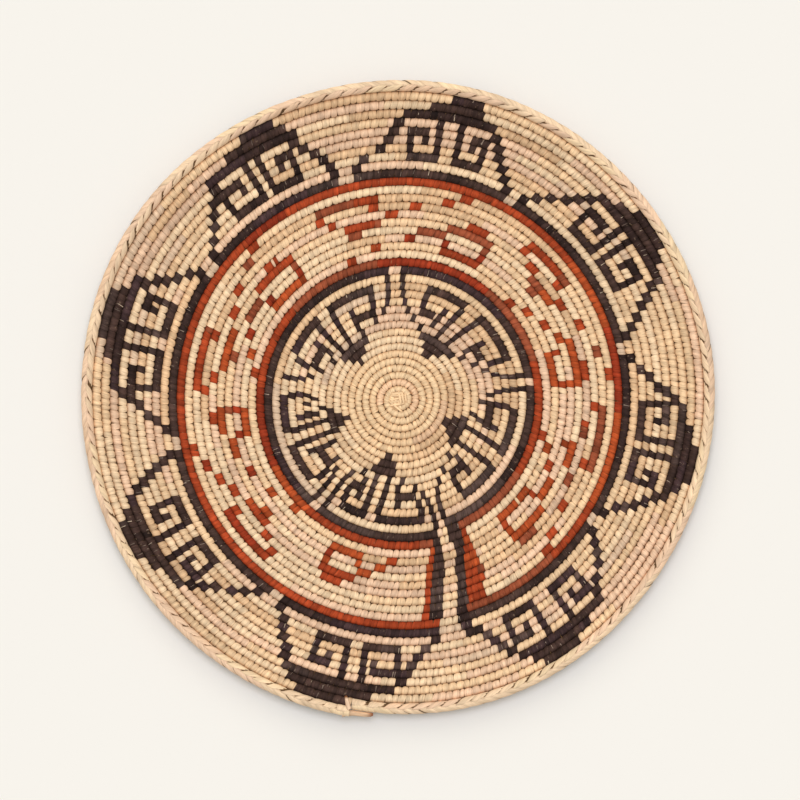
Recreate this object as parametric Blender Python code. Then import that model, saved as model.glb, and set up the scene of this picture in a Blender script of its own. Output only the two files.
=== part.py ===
"""Coiled wall plate: a stitched spiral coil with a herringbone braided rim.

The plate lies face up on its back. Its origin is the middle of the coil on the underside, +Z is the face,
and +Y is the side that hangs upwards. Angles called "clock" run clockwise from +Y, as seen on the face.
The coil starts at the middle and winds outwards anticlockwise. "Turn" counts its turns from the start.
"""

import math

import bmesh
import bpy
import numpy as np
from mathutils import Matrix, Vector

# The coil, in metres
PLAIN_ROWS = 38
START_RADIUS = 0.0024
FIRST_PITCH = 0.00417
LAST_PITCH = 0.00476
COIL_GAP = 0.0006
END_GAP = 0.0003
FOOT_SHARE = 0.1

# Where the coil ends and where the pale pathway crosses the rings, as clock angles in degrees
COIL_END_CLOCK = 189.0
PATHWAY_CLOCK = 162.0

# The rows of each colour zone, counted inwards from the row beside the rim
CLOUD_ROWS = 9
BAND_ROWS = 9
STAR_ROWS = 10

# The low wall: flat base, a bend, and then an even slope
WALL_START_RADIUS = 0.122
WALL_BEND = 0.030
WALL_SLOPE = 0.28

# The braided rim
BRAID_WIDTH = 0.0060
BRAID_END_WIDTH = 0.0054
BRAID_HEIGHT = 0.0060
BRAID_END_TAPER = 0.030
BRAID_SEAT = 0.0003
CORE_RADIUS = 0.0015
SPLINT_COUNT = 12
LEAVES_PER_SPLINT = 11
LEAF_RELIEF = 0.0005
LEAF_STEP = 0.8
INNER_LEAN = 0.0070
OUTER_LEAN = 0.0055
LEAN_FADE = 0.024

# The coil's thin end and the loose tip of the last splint
END_TAPER_LENGTH = 0.013
END_TAPER_RADIUS = 0.0016
END_TIP_RADIUS = 0.0003
TAIL_CLOCK = 189.75
TAIL_LEAN = 0.75
TAIL_LENGTH = 0.0050
TAIL_WIDTH = 0.0024
TAIL_TIP_WIDTH = 0.0016
TAIL_THICKNESS = 0.0005
TAIL_START = 0.0016

# The wound start that fills the middle. Its last corners leave the first turn's end free
KNOT_CROWN = 0.0010
KNOT_LAST_TURN = 0.982
KNOT_NICK = 3.0

# How far the hand-made outline strays from a true spiral at the rim: to one side, as an oval, at three corners
# and in five waves
SIDE_STRAY = 0.0010
OVAL_STRAY = 0.0007
CORNER_STRAY = 0.0006
WAVE_STRAY = 0.0004

# How far the rows between the small turns and the rim lie off to one side, and how far the small rows are
# drawn in
DRIFT = 0.0017
DRIFT_CLOCK = 138.0
DRIFT_START_RADIUS = 0.023
DRAWN_IN = 0.0012
DRAWN_IN_END_RADIUS = 0.085

# Fineness of the faceted solids
COARSE_TURNS = 8
COARSE_STEPS = 10
FINE_STEPS = 20
RIM_STEPS = 60
BORE_STEPS = 6
SLEEVE_SIDES = 8
END_STEPS = 6
STEP_SNAP = 0.02
MERGE_DISTANCE = 0.000001

NATURAL = (0.76, 0.60, 0.42, 1.0)
BLEACHED = (0.80, 0.64, 0.47, 1.0)
DARK = (0.045, 0.033, 0.030, 1.0)
RUST = (0.42, 0.11, 0.035, 1.0)

END_TURN = PLAIN_ROWS + 1
PATHWAY_PHASE = (COIL_END_CLOCK - PATHWAY_CLOCK) / 360.0

# The outline's lobes: how many, how far each strays, and the clock angle of a crest
OUTLINE_LOBES = (
    (1, SIDE_STRAY, 8.0),
    (2, OVAL_STRAY, 171.0),
    (3, CORNER_STRAY, 55.0),
    (5, WAVE_STRAY, 16.0),
)

# How high the flat of a six-sided bundle lies over its axis, as a share of its radius
FLAT_SHARE = math.cos(math.radians(30.0))


def clear_scene():
    """Remove every object, so that the file can be run again in the same scene."""
    for old in list(bpy.data.objects):
        bpy.data.objects.remove(old, do_unlink=True)


def finish(name, color, roughness):
    """A plain plant-fibre finish."""
    material = bpy.data.materials.new(name)
    material.use_nodes = True
    shader = material.node_tree.nodes["Principled BSDF"]
    shader.inputs["Base Color"].default_value = color
    shader.inputs["Roughness"].default_value = roughness
    shader.inputs["Metallic"].default_value = 0.0
    material.diffuse_color = color
    return material


def pitch(turn):
    """The width of one row: the first turns are sewn finer than the last."""
    return FIRST_PITCH + (LAST_PITCH - FIRST_PITCH) * turn / PLAIN_ROWS


def inner_edge(turn):
    """The radius of the side of the coil that faces the middle."""
    growth = (LAST_PITCH - FIRST_PITCH) / (2.0 * PLAIN_ROWS)
    return START_RADIUS + FIRST_PITCH * turn + growth * turn**2


def clock_at(turn):
    """The clock angle in degrees of a place on the coil."""
    return COIL_END_CLOCK + 360.0 * (END_TURN - turn)


def hand_wobble(radius, clock):
    """How far a row strays outwards at a clock angle, which grows with the square of its radius."""
    share = (radius / inner_edge(END_TURN)) ** 2
    return share * sum(
        size * math.cos(math.radians(lobes * (clock - crest))) for lobes, size, crest in OUTLINE_LOBES
    )


def row_drift(radius, clock):
    """How far a row between the middle and the rim lies outwards of a true spiral's at a clock angle."""
    share = (radius - DRIFT_START_RADIUS) / (inner_edge(END_TURN) - DRIFT_START_RADIUS)
    aside = DRIFT * math.sin(math.pi * min(max(share, 0.0), 1.0))
    inwards = DRAWN_IN * math.sin(math.pi * min(radius / DRAWN_IN_END_RADIUS, 1.0))
    return aside * math.cos(math.radians(clock - DRIFT_CLOCK)) - inwards


def rise(radius):
    """How far the plate stands off the table at a radius."""
    out = radius - WALL_START_RADIUS
    if out <= 0.0:
        return 0.0
    if out < WALL_BEND:
        return WALL_SLOPE * out**2 / (2.0 * WALL_BEND)
    return WALL_SLOPE * (out - WALL_BEND / 2.0)


def coil_radius(turn):
    """The radius of the wrapped bundle, which leaves the gap between two rows."""
    return (pitch(turn) - COIL_GAP) / 2.0


def turn_length(turn):
    """The length of the bundle in one turn there."""
    return 2.0 * math.pi * (inner_edge(turn) + pitch(turn) / 2.0)


def coil_height(turn):
    """The height of the bundle's axis over the underside in the flat middle."""
    return coil_radius(turn) * (1.0 - 2.0 * FOOT_SHARE)


def place(radius, clock, height):
    """A point from its radius, clock angle in degrees and height."""
    strayed = radius + hand_wobble(radius, clock) + row_drift(radius, clock)
    angle = math.radians(clock)
    return Vector((strayed * math.sin(angle), strayed * math.cos(angle), height))


def coil_point(turn):
    """A point on the wrapped bundle's axis."""
    radius = inner_edge(turn) + pitch(turn) / 2.0
    return place(radius, clock_at(turn), coil_height(turn) + rise(radius))


def steps_at(turn):
    """How many straight runs make a turn: few in the small middle turns and more further out."""
    if turn < COARSE_TURNS:
        return COARSE_STEPS
    return FINE_STEPS


def on_chord(axis, turn, steps):
    """A point on the straight run between two whole steps, so that it keeps in line with the next rows."""
    before = math.floor(turn * steps + STEP_SNAP)
    return axis(before / steps).lerp(axis((before + 1) / steps), turn * steps - before)


def stretch_turns(first, last, steps_of):
    """The turns of a stretch's points: its two ends and every whole step between them."""
    turns = [first]
    turn = first
    while turn < last:
        steps = steps_of(turn)
        turn = (math.floor(turn * steps + STEP_SNAP) + 1) / steps
        if turn < last - STEP_SNAP / steps:
            turns.append(turn)
    return [*turns, last]


def stretch_points(axis, turns, steps_of):
    """The points of a stretch, whose ends lie on the straight runs that they cut short."""
    first = on_chord(axis, turns[0], steps_of(turns[0]))
    last = on_chord(axis, turns[-1], steps_of(turns[-1]))
    return [first, *[axis(turn) for turn in turns[1:-1]], last]


def tube_object(name, collection, points, radii):
    """A wrapped bundle as a round tube with filled ends, whose section has its flats above and below."""
    largest = max(radii)
    curve = bpy.data.curves.new(name, "CURVE")
    curve.dimensions = "3D"
    curve.twist_mode = "Z_UP"
    curve.bevel_depth = largest
    curve.bevel_resolution = 1
    curve.use_fill_caps = True
    spline = curve.splines.new("POLY")
    spline.points.add(len(points) - 1)
    for target, point, radius in zip(spline.points, points, radii):
        target.co = (*point, 1.0)
        target.radius = radius / largest
    return mesh_of(bpy.data.objects.new(name + "_guide", curve), name, collection)


def mesh_of(guide, name, collection):
    """The closed mesh object that a curve object makes, in the curve's place."""
    collection.objects.link(guide)
    bpy.context.view_layer.update()
    evaluated = guide.evaluated_get(bpy.context.evaluated_depsgraph_get())
    mesh = bpy.data.meshes.new_from_object(evaluated)
    mesh.name = name
    piece = bpy.data.objects.new(name, mesh)
    piece.matrix_world = guide.matrix_world
    collection.objects.link(piece)
    bpy.data.objects.remove(guide, do_unlink=True)
    weld(mesh)
    return piece


def weld(mesh):
    """Join the loose caps of a tube to its wall and press what lies below the table up to it."""
    solid = bmesh.new()
    solid.from_mesh(mesh)
    bmesh.ops.remove_doubles(solid, verts=solid.verts, dist=MERGE_DISTANCE)
    for vertex in solid.verts:
        vertex.co.z = max(vertex.co.z, 0.0)
    bmesh.ops.recalc_face_normals(solid, faces=solid.faces)
    solid.to_mesh(mesh)
    solid.free()


def dress(piece, material):
    """Give a piece its finish and smooth shading."""
    piece.data.materials.clear()
    piece.data.materials.append(material)
    piece.data.shade_smooth()
    piece.data.set_sharp_from_angle(angle=math.radians(50.0))


def print_least_gap(name, turns, points):
    """Measure and print the least gap between the rows of one stretch, on its points."""
    axis = np.array(points)
    radii = np.array([coil_radius(turn) for turn in turns])
    apart = np.abs(np.subtract.outer(turns, turns)) > 0.5
    if not apart.any():
        return
    distance = np.linalg.norm(axis[:, None, :] - axis[None, :, :], axis=2)
    gap = (distance - radii[:, None] - radii[None, :])[apart].min()
    print(f"{name}: least gap between its rows {gap * 1000.0:.2f} mm")


def build_rows(collection, name, first, last, material):
    """One stretch of the wrapped coil, from one turn to another."""
    start = first + END_GAP / 2.0 / turn_length(first)
    end = last - END_GAP / 2.0 / turn_length(last)
    turns = stretch_turns(start, end, steps_at)
    points = stretch_points(coil_point, turns, steps_at)
    piece = tube_object(name, collection, points, [coil_radius(turn) for turn in turns])
    dress(piece, material)
    print_least_gap(name, turns, points)


def knot_corners():
    """The corners of the knot's side as seen from above, which follow the first turn's inner side at a gap."""
    clear = (coil_radius(0.0) + COIL_GAP) / math.cos(math.pi / COARSE_STEPS)
    corners = []
    for turn in [*[step / COARSE_STEPS for step in range(COARSE_STEPS)], KNOT_LAST_TURN]:
        axis = on_chord(coil_point, turn, COARSE_STEPS).to_2d()
        corners.append(axis * (1.0 - clear / axis.length))
    nick = Matrix.Rotation(-math.radians(KNOT_NICK), 2)
    return [*corners, nick @ corners[0]]


def build_start_knot(collection, material):
    """The tight wound start that the first turn closes round: a button with a crowned top."""
    top = coil_height(0.0) + coil_radius(0.0) * FLAT_SHARE
    profile = ((0.8, 0.0), (1.0, top * 0.5), (0.96, top - KNOT_CROWN * 0.3), (0.6, top + KNOT_CROWN * 0.6))
    corners = knot_corners()
    solid = bmesh.new()
    rings = []
    for share, height in profile:
        rings.append([solid.verts.new((corner.x * share, corner.y * share, height)) for corner in corners])
    for near, far in zip(rings, rings[1:]):
        bridge(solid, near, far)
    for ring, height in ((rings[0], 0.0), (rings[-1], top + KNOT_CROWN)):
        middle = solid.verts.new((0.0, 0.0, height))
        for step, corner in enumerate(ring):
            solid.faces.new((corner, ring[(step + 1) % len(ring)], middle))
    add_piece(solid, "start_knot", collection, material)


def add_piece(solid, name, collection, material):
    """Turn a closed solid into an object with its faces turned outwards."""
    bmesh.ops.recalc_face_normals(solid, faces=solid.faces)
    mesh = bpy.data.meshes.new(name)
    solid.to_mesh(mesh)
    solid.free()
    piece = bpy.data.objects.new(name, mesh)
    collection.objects.link(piece)
    dress(piece, material)


def bridge(solid, near, far):
    """Join two rings of the same number of points, each cell cut along the same diagonal."""
    for step in range(len(near)):
        after = (step + 1) % len(near)
        solid.faces.new((near[step], near[after], far[after]))
        solid.faces.new((near[step], far[after], far[step]))


def rim_length():
    """The length of the braid's run round the rim, along its middle."""
    return 2.0 * math.pi * (inner_edge(PLAIN_ROWS + 0.5) + BRAID_WIDTH / 2.0)


def rim_turn(run):
    """The turn at a distance in metres along the rim from where the braid starts."""
    return PLAIN_ROWS + run / rim_length()


def braid_width(turn):
    """The braid's width, which draws in over the last of the rim as the bundle runs out."""
    left = (END_TURN - turn) * rim_length()
    share = min(max(left / BRAID_END_TAPER, 0.0), 1.0)
    return BRAID_END_WIDTH + (BRAID_WIDTH - BRAID_END_WIDTH) * share


def braid_axis(turn):
    """A point on the axis of the rim, under the braid."""
    radius = inner_edge(turn) + braid_width(turn) / 2.0
    return place(radius, clock_at(turn), coil_height(PLAIN_ROWS) + rise(radius))


def rim_steps(_turn):
    """How many straight runs make the rim."""
    return RIM_STEPS


def build_rim_core(collection, material):
    """The last turn of the bundle, which the braid covers."""
    gap = END_GAP / rim_length()
    turns = stretch_turns(PLAIN_ROWS + gap, END_TURN - gap, rim_steps)
    points = stretch_points(braid_axis, turns, rim_steps)
    piece = tube_object("rim_core", collection, points, [CORE_RADIUS] * len(points))
    dress(piece, material)


def leaf_lean(side):
    """How far the herringbone trails along the rim at an angle round it, in degrees from outwards."""
    from_ridge = (side + 90.0) % 360.0 - 180.0
    near, far = (INNER_LEAN, OUTER_LEAN) if from_ridge >= 0.0 else (OUTER_LEAN, INNER_LEAN)
    away = abs(from_ridge)
    if away <= 90.0:
        return near * away / 90.0
    return near + (far - near) * (away - 90.0) / 180.0


def leaned(run, side):
    """A distance along the rim moved by the herringbone's lean, which fades out at the two ends."""
    share = min(run, rim_length() - run) / LEAN_FADE
    return run + leaf_lean(side) * min(max(share, 0.0), 1.0)


def braid_ring(solid, run, across, up):
    """One ring of the braid's points round the rim: across and up are half its oval's width and height."""
    ring = []
    for step in range(SLEEVE_SIDES):
        side = 360.0 * step / SLEEVE_SIDES
        centre = braid_axis(rim_turn(leaned(run, side)))
        outward = Vector((centre.x, centre.y, 0.0)).normalized()
        sideways = outward * across * math.cos(math.radians(side))
        upwards = Vector((0.0, 0.0, up * math.sin(math.radians(side))))
        ring.append(solid.verts.new(centre + sideways + upwards))
    return ring


def leaf_rings(solid, first, leaf):
    """The rings of a splint's outside: each leaf starts full and sinks under the next one's edge."""
    rings = []
    for number in range(LEAVES_PER_SPLINT + 1):
        for share, relief in ((0.0, 0.0), (LEAF_STEP, LEAF_RELIEF)):
            if number == LEAVES_PER_SPLINT and share > 0.0:
                continue
            run = first + (number + share) * leaf
            half_width = braid_width(rim_turn(run)) / 2.0
            half_height = BRAID_HEIGHT * half_width / BRAID_WIDTH
            rings.append(braid_ring(solid, run, half_width - relief, half_height - relief))
    return rings


def build_braid_splint(collection, index, material):
    """One splint's length of the false braid: leaves that lap each other in a herringbone round the core."""
    length = rim_length() / SPLINT_COUNT
    first = index * length + END_GAP / 2.0
    last = (index + 1) * length - END_GAP / 2.0
    solid = bmesh.new()
    outside = leaf_rings(solid, first, (last - first) / LEAVES_PER_SPLINT)
    bore_radius = (CORE_RADIUS + BRAID_SEAT) / math.cos(math.pi / SLEEVE_SIDES)
    bore_runs = [first + (last - first) * step / BORE_STEPS for step in range(BORE_STEPS + 1)]
    bore = [braid_ring(solid, run, bore_radius, bore_radius) for run in bore_runs]
    for near, far in zip(outside, outside[1:]):
        bridge(solid, near, far)
    for near, far in zip(bore, bore[1:]):
        bridge(solid, near, far)
    bridge(solid, outside[0], bore[0])
    bridge(solid, outside[-1], bore[-1])
    add_piece(solid, f"braid_splint_{index + 1:02d}", collection, material)


def build_tapered_end(collection, material):
    """The coil's end, thinned to nothing along the outside of the braid's first leaves."""
    points, radii = [], []
    for step in range(END_STEPS + 1):
        share = step / END_STEPS
        turn = END_TURN + (END_GAP + share * END_TAPER_LENGTH) / rim_length()
        radius = END_TIP_RADIUS + (END_TAPER_RADIUS - END_TIP_RADIUS) * (1.0 - share) ** 0.6
        seat = inner_edge(turn - 1.0) + braid_width(turn - 1.0) + BRAID_SEAT
        points.append(place(seat + radius, clock_at(turn), braid_axis(turn - 1.0).z))
        radii.append(radius)
    piece = tube_object("tapered_end", collection, points, radii)
    dress(piece, material)


def turn_at(clock, rows_in):
    """The turn of a row at a clock angle, counted inwards from the rim."""
    return END_TURN - (clock - COIL_END_CLOCK) / 360.0 - 1.0 - rows_in


def build_braid_tail(collection, material):
    """The last splint's flat tip, which comes out of the braid and lies pointing inwards on the outermost row."""
    first_row = on_chord(coil_point, turn_at(TAIL_CLOCK, 0), FINE_STEPS)
    next_row = on_chord(coil_point, turn_at(TAIL_CLOCK + TAIL_LEAN, 1), FINE_STEPS)
    along = (next_row - first_row).normalized()
    across = Vector((0.0, 0.0, 1.0)).cross(along).normalized()
    face = along.cross(across)

    curve = bpy.data.curves.new("braid_tail", "CURVE")
    curve.dimensions = "2D"
    curve.fill_mode = "BOTH"
    curve.extrude = TAIL_THICKNESS / 2.0
    half_base, half_tip = TAIL_WIDTH / 2.0, TAIL_TIP_WIDTH / 2.0
    bend = (TAIL_LENGTH * 0.55, half_base * 0.85)
    side = [(0.0, half_base), bend, (TAIL_LENGTH, half_tip)]
    outline = side + [(length, -half) for length, half in reversed(side)]
    spline = curve.splines.new("POLY")
    spline.use_cyclic_u = True
    spline.points.add(len(outline) - 1)
    for point, (length, half) in zip(spline.points, outline):
        point.co = (length, half, 0.0, 1.0)

    # The row's top is flat, so on the sloping wall its inner edge stands a little over the line of the rows
    row_radius = coil_radius(PLAIN_ROWS)
    corner = WALL_SLOPE * row_radius * (1.0 - FLAT_SHARE**2) ** 0.5
    clear = row_radius * FLAT_SHARE + corner + BRAID_SEAT + TAIL_THICKNESS / 2.0
    seat = first_row - along * TAIL_START + Vector((0.0, 0.0, clear))
    strip = bpy.data.objects.new("braid_tail_guide", curve)
    strip.matrix_world = Matrix.Translation(seat) @ Matrix((along, across, face)).transposed().to_4x4()
    piece = mesh_of(strip, "braid_tail", collection)
    dress(piece, material)


def build_plate():
    """Build every piece of the plate in its own collection."""
    clear_scene()
    plate = bpy.data.collections.new("woven_wall_plate")
    bpy.context.scene.collection.children.link(plate)
    natural = finish("natural_splint", NATURAL, 0.75)
    bleached = finish("braid_splint", BLEACHED, 0.7)
    dark = finish("dark_splint", DARK, 0.6)
    rust = finish("rust_splint", RUST, 0.65)

    cloud_end = PATHWAY_PHASE + PLAIN_ROWS - CLOUD_ROWS
    band_end = cloud_end - 2.0
    star_start = band_end - BAND_ROWS
    star_end = star_start - 2.0
    centre_end = star_end - STAR_ROWS

    build_start_knot(plate, natural)
    build_rows(plate, "centre_rows", 0.0, centre_end, natural)
    build_rows(plate, "star_rows", centre_end, star_end, natural)
    build_rows(plate, "inner_dark_ring", star_end, star_end + 1.0, dark)
    build_rows(plate, "inner_rust_ring", star_end + 1.0, star_start, rust)
    build_rows(plate, "band_rows", star_start, band_end, natural)
    build_rows(plate, "outer_rust_ring", band_end, band_end + 1.0, rust)
    build_rows(plate, "outer_dark_ring", band_end + 1.0, cloud_end, dark)
    build_rows(plate, "cloud_rows", cloud_end, float(PLAIN_ROWS), natural)
    build_rim_core(plate, natural)
    for index in range(SPLINT_COUNT):
        build_braid_splint(plate, index, bleached)
    build_tapered_end(plate, bleached)
    build_braid_tail(plate, bleached)


build_plate()
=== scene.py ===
"""Coiled wall plate: each stitch and braid leaf over the plate's plain solids, with floor, light and camera.

All lengths are metres. The plate lies face up, its origin is the middle of the coil on the underside, +Z is
the face and +Y is the side that hangs upwards. A "clock" is an angle in degrees clockwise from +Y as seen on
the face. The coil starts in the middle and winds outwards anticlockwise, and "turn" counts its turns. A "row"
is counted inwards from the rim, which is row 0, as a reader of the finished ornament counts them.
"""

import logging
import math
from collections.abc import Iterator
from dataclasses import dataclass, field
from enum import Enum
from functools import cache
from typing import Any

import bpy
import numpy as np
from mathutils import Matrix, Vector


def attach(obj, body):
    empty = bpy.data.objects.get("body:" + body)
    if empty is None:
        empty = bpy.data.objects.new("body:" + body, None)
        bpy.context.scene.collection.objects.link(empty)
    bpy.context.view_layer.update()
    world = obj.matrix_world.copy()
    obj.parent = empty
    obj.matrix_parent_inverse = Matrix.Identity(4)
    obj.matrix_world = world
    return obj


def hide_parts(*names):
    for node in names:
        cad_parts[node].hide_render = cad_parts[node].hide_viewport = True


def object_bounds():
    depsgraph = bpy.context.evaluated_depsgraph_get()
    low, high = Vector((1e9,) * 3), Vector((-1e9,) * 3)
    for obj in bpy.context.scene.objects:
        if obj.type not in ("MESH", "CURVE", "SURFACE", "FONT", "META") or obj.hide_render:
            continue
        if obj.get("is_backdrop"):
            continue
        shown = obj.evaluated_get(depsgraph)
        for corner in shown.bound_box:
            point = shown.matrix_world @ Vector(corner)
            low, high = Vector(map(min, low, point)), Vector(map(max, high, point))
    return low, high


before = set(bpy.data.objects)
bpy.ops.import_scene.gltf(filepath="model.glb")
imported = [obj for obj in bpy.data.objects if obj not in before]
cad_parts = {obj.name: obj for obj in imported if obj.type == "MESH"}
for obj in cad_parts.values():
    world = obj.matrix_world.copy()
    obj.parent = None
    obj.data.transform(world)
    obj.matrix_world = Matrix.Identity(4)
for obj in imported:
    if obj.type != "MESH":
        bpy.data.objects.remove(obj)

CAD_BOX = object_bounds()
BODY = "root"
SEED = 38
MILLIMETRE = 0.001
GRAIN_RANGE = 400.0
LOG = logging.getLogger("wall_plate")

Colour = tuple[float, float, float]
Span = tuple[float, float]
Profile = tuple[tuple[float, ...], tuple[float, ...]]
Values = np.ndarray | float


class Dye(Enum):
    """The splints that the ornament is sewn with."""

    NATURAL = "natural"
    DARK = "dark"
    RUST = "rust"


class NodeBench:
    """The nodes of a new material or world, with one short way to add and join them."""

    def __init__(self, owner: bpy.types.Material | bpy.types.World) -> None:
        """Start on the nodes that a new material or world has."""
        owner.use_nodes = True
        self.owner = owner
        self.nodes = owner.node_tree.nodes

    def feed(self, node: Any, inputs: dict[int | str, Any]) -> None:
        """Give a node's inputs their values.

        Args:
            node: The node.
            inputs: A constant or another node's output for each input that isn't left as it is.
        """
        for key, value in inputs.items():
            if isinstance(value, bpy.types.NodeSocket):
                self.owner.node_tree.links.new(value, node.inputs[key])
            else:
                node.inputs[key].default_value = value

    def add(self, kind: str, inputs: dict[int | str, Any], output: int | str = 0, **settings: Any) -> Any:
        """Add a node.

        Args:
            kind: The node's type.
            inputs: Its inputs, as feed takes them.
            output: Which output the caller wants.
            **settings: The node's own settings.

        Returns:
            The node's output socket.
        """
        node = self.nodes.new(kind)
        for name, value in settings.items():
            setattr(node, name, value)
        self.feed(node, inputs)
        return node.outputs[output]

    def stored(self, name: str, output: str) -> Any:
        """A value that is stored with the mesh."""
        return self.add("ShaderNodeAttribute", {}, output, attribute_name=name)

    def times(self, first: Any, second: Any) -> Any:
        """Two colours or vectors multiplied."""
        return self.add("ShaderNodeVectorMath", {0: first, 1: second}, operation="MULTIPLY")

    def fibre_noise(self, fineness: tuple[float, float, float], detail: float) -> Any:
        """Noise with a fineness across a splint, along it and from splint to splint, for each millimetre."""
        place = self.times(self.stored("fibre", "Vector"), fineness)
        return self.add("ShaderNodeTexNoise", {"Vector": place, "Scale": 1.0, "Detail": detail})

    def spread(self, value: Any, low: Span, high: Span) -> Any:
        """A value carried from one range over to another and held inside it."""
        ends = {"Value": value, "From Min": low[0], "From Max": low[1], "To Min": high[0], "To Max": high[1]}
        return self.add("ShaderNodeMapRange", ends)

    def blended(self, factor: Any, first: Any, second: Any) -> Any:
        """One colour that goes over into another."""
        return self.add("ShaderNodeMix", {0: factor, 6: first, 7: second}, output=2, data_type="RGBA")

    def dress(self, colour: Any, roughness: float, gloss: float, **more: Any) -> bpy.types.Material:
        """Finish the material's shader.

        Args:
            colour: Its colour.
            roughness: Its roughness.
            gloss: Its specular level.
            **more: Other inputs, by name.

        Returns:
            The material.
        """
        main = {"Base Color": colour, "Roughness": roughness, "Specular IOR Level": gloss}
        self.feed(self.nodes["Principled BSDF"], {**main, **more})
        return self.owner


@dataclass(frozen=True)
class SplintFinish:
    """The look of one kind of split, dyed or undyed splint.

    The stitches of one splint share a colour of the palette. A splint lasts for at least shortest_splint
    stitches and for fewer than longest_splint.
    """

    name: str
    slot: str
    palette: tuple[Colour, ...]
    shares: tuple[float, ...]
    splint_spread: float = 0.06
    stitch_spread: float = 0.05
    streak: float = 0.24
    # Colour that painted shade in grooves, on flanks and at edges darkens a splint towards
    painted_shade_tint: Colour = (0.37, 0.20, 0.088)
    fleck: Colour = (0.55, 0.40, 0.26)
    fleck_start: float = 0.70
    fleck_edge: float = 0.08
    fleck_strength: float = 0.55
    roughness: float = 0.68
    gloss: float = 0.16
    bump: float = 0.45
    relief: float = 0.12 * MILLIMETRE
    shortest_splint: int = 6
    longest_splint: int = 26
    darkest: float = 0.004
    brightest: float = 0.96

    def colours(self, count: int, rng: np.random.Generator) -> np.ndarray:
        """Colours for stitches in the order of sewing.

        Args:
            count: How many stitches.
            rng: The random draws.

        Returns:
            One linear colour a stitch.
        """
        shares = np.array(self.shares) / sum(self.shares)
        tones: list[np.ndarray] = []
        while len(tones) < count:
            stitches = int(rng.integers(self.shortest_splint, self.longest_splint))
            base = np.array(self.palette[rng.choice(len(self.palette), p=shares)])
            base = base * (1.0 + self.splint_spread * rng.normal())
            tones += [base * (1.0 + self.stitch_spread * rng.normal()) for _ in range(stitches)]
        chosen = np.maximum(np.array(tones[:count]).reshape(-1, 3), self.darkest)
        return chosen * np.minimum(1.0, self.brightest / chosen.max(axis=1, keepdims=True))

    def material(self) -> bpy.types.Material:
        """Make the splint's material: its own colour, lengthwise grain, flecks and painted shade in the
        grooves, down the rows' flanks and at the edges of stitches and leaves.

        Returns:
            The material.
        """
        bench = NodeBench(bpy.data.materials.new(self.name))
        grain = bench.fibre_noise((0.70, 0.12, 1.0), detail=4.0)
        fine = bench.fibre_noise((3.2, 0.35, 1.0), detail=2.0)
        patch = bench.fibre_noise((0.7, 0.45, 1.3), detail=2.0)
        coarse_light, fine_light = (
            bench.spread(noise, (0.3, 0.7), (1.0 - streak, 1.0 + streak))
            for noise, streak in ((grain, self.streak), (fine, self.streak / 2.0))
        )
        light = bench.add("ShaderNodeMath", {0: coarse_light, 1: fine_light}, operation="MULTIPLY")
        # Painted shade: each point's colour goes towards the shade tint by its stored shade share
        shade = bench.blended(bench.stored("painted_shade", "Fac"), (1.0, 1.0, 1.0, 1.0), (*self.painted_shade_tint, 1.0))
        shaded = bench.times(bench.stored("splint_colour", "Color"), shade)
        lit = bench.add("ShaderNodeVectorMath", {0: shaded, "Scale": light}, operation="SCALE")
        flecked = (self.fleck_start, self.fleck_start + self.fleck_edge)
        fleck_share = bench.spread(patch, flecked, (0.0, self.fleck_strength))
        colour = bench.blended(fleck_share, lit, (*self.fleck, 1.0))
        height = bench.add("ShaderNodeMath", {0: grain, 1: fine}, operation="ADD")
        bump = bench.add("ShaderNodeBump", {"Height": height, "Strength": self.bump, "Distance": self.relief})
        return bench.dress(colour, self.roughness, self.gloss, Normal=bump)


@dataclass(frozen=True)
class BundleFinish:
    """The look of the grass in the bundle, which shows only in the needle holes and between stitches."""

    name: str = "grass_bundle"
    slot: str = "bundle"
    # The shade colour and the darkened stems are painted shade for the needle holes and gaps where the bundle
    # shows
    shade: Colour = (0.070, 0.036, 0.015)
    stem: Colour = (0.23, 0.125, 0.05)
    roughness: float = 0.85
    gloss: float = 0.2
    bump: float = 0.8
    relief: float = 0.4 * MILLIMETRE

    def material(self) -> bpy.types.Material:
        """Make the bundle's material: stems side by side with painted shade between them.

        Returns:
            The material.
        """
        bench = NodeBench(bpy.data.materials.new(self.name))
        stems = bench.fibre_noise((2.6, 0.05, 1.0), detail=3.0)
        share = bench.spread(stems, (0.38, 0.66), (0.0, 1.0))
        colour = bench.blended(share, (*self.shade, 1.0), (*self.stem, 1.0))
        bump = bench.add("ShaderNodeBump", {"Height": stems, "Strength": self.bump, "Distance": self.relief})
        return bench.dress(colour, self.roughness, self.gloss, Normal=bump)


@cache
def shared_material(finish: SplintFinish | BundleFinish) -> bpy.types.Material:
    """The material of a finish, made when it is first asked for."""
    return finish.material()


CREAM = (0.955, 0.700, 0.440)
STRAW = (0.93, 0.645, 0.380)
TAN = (0.81, 0.530, 0.300)
BLUSH = (0.90, 0.605, 0.400)
ASH = (0.77, 0.550, 0.370)

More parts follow.
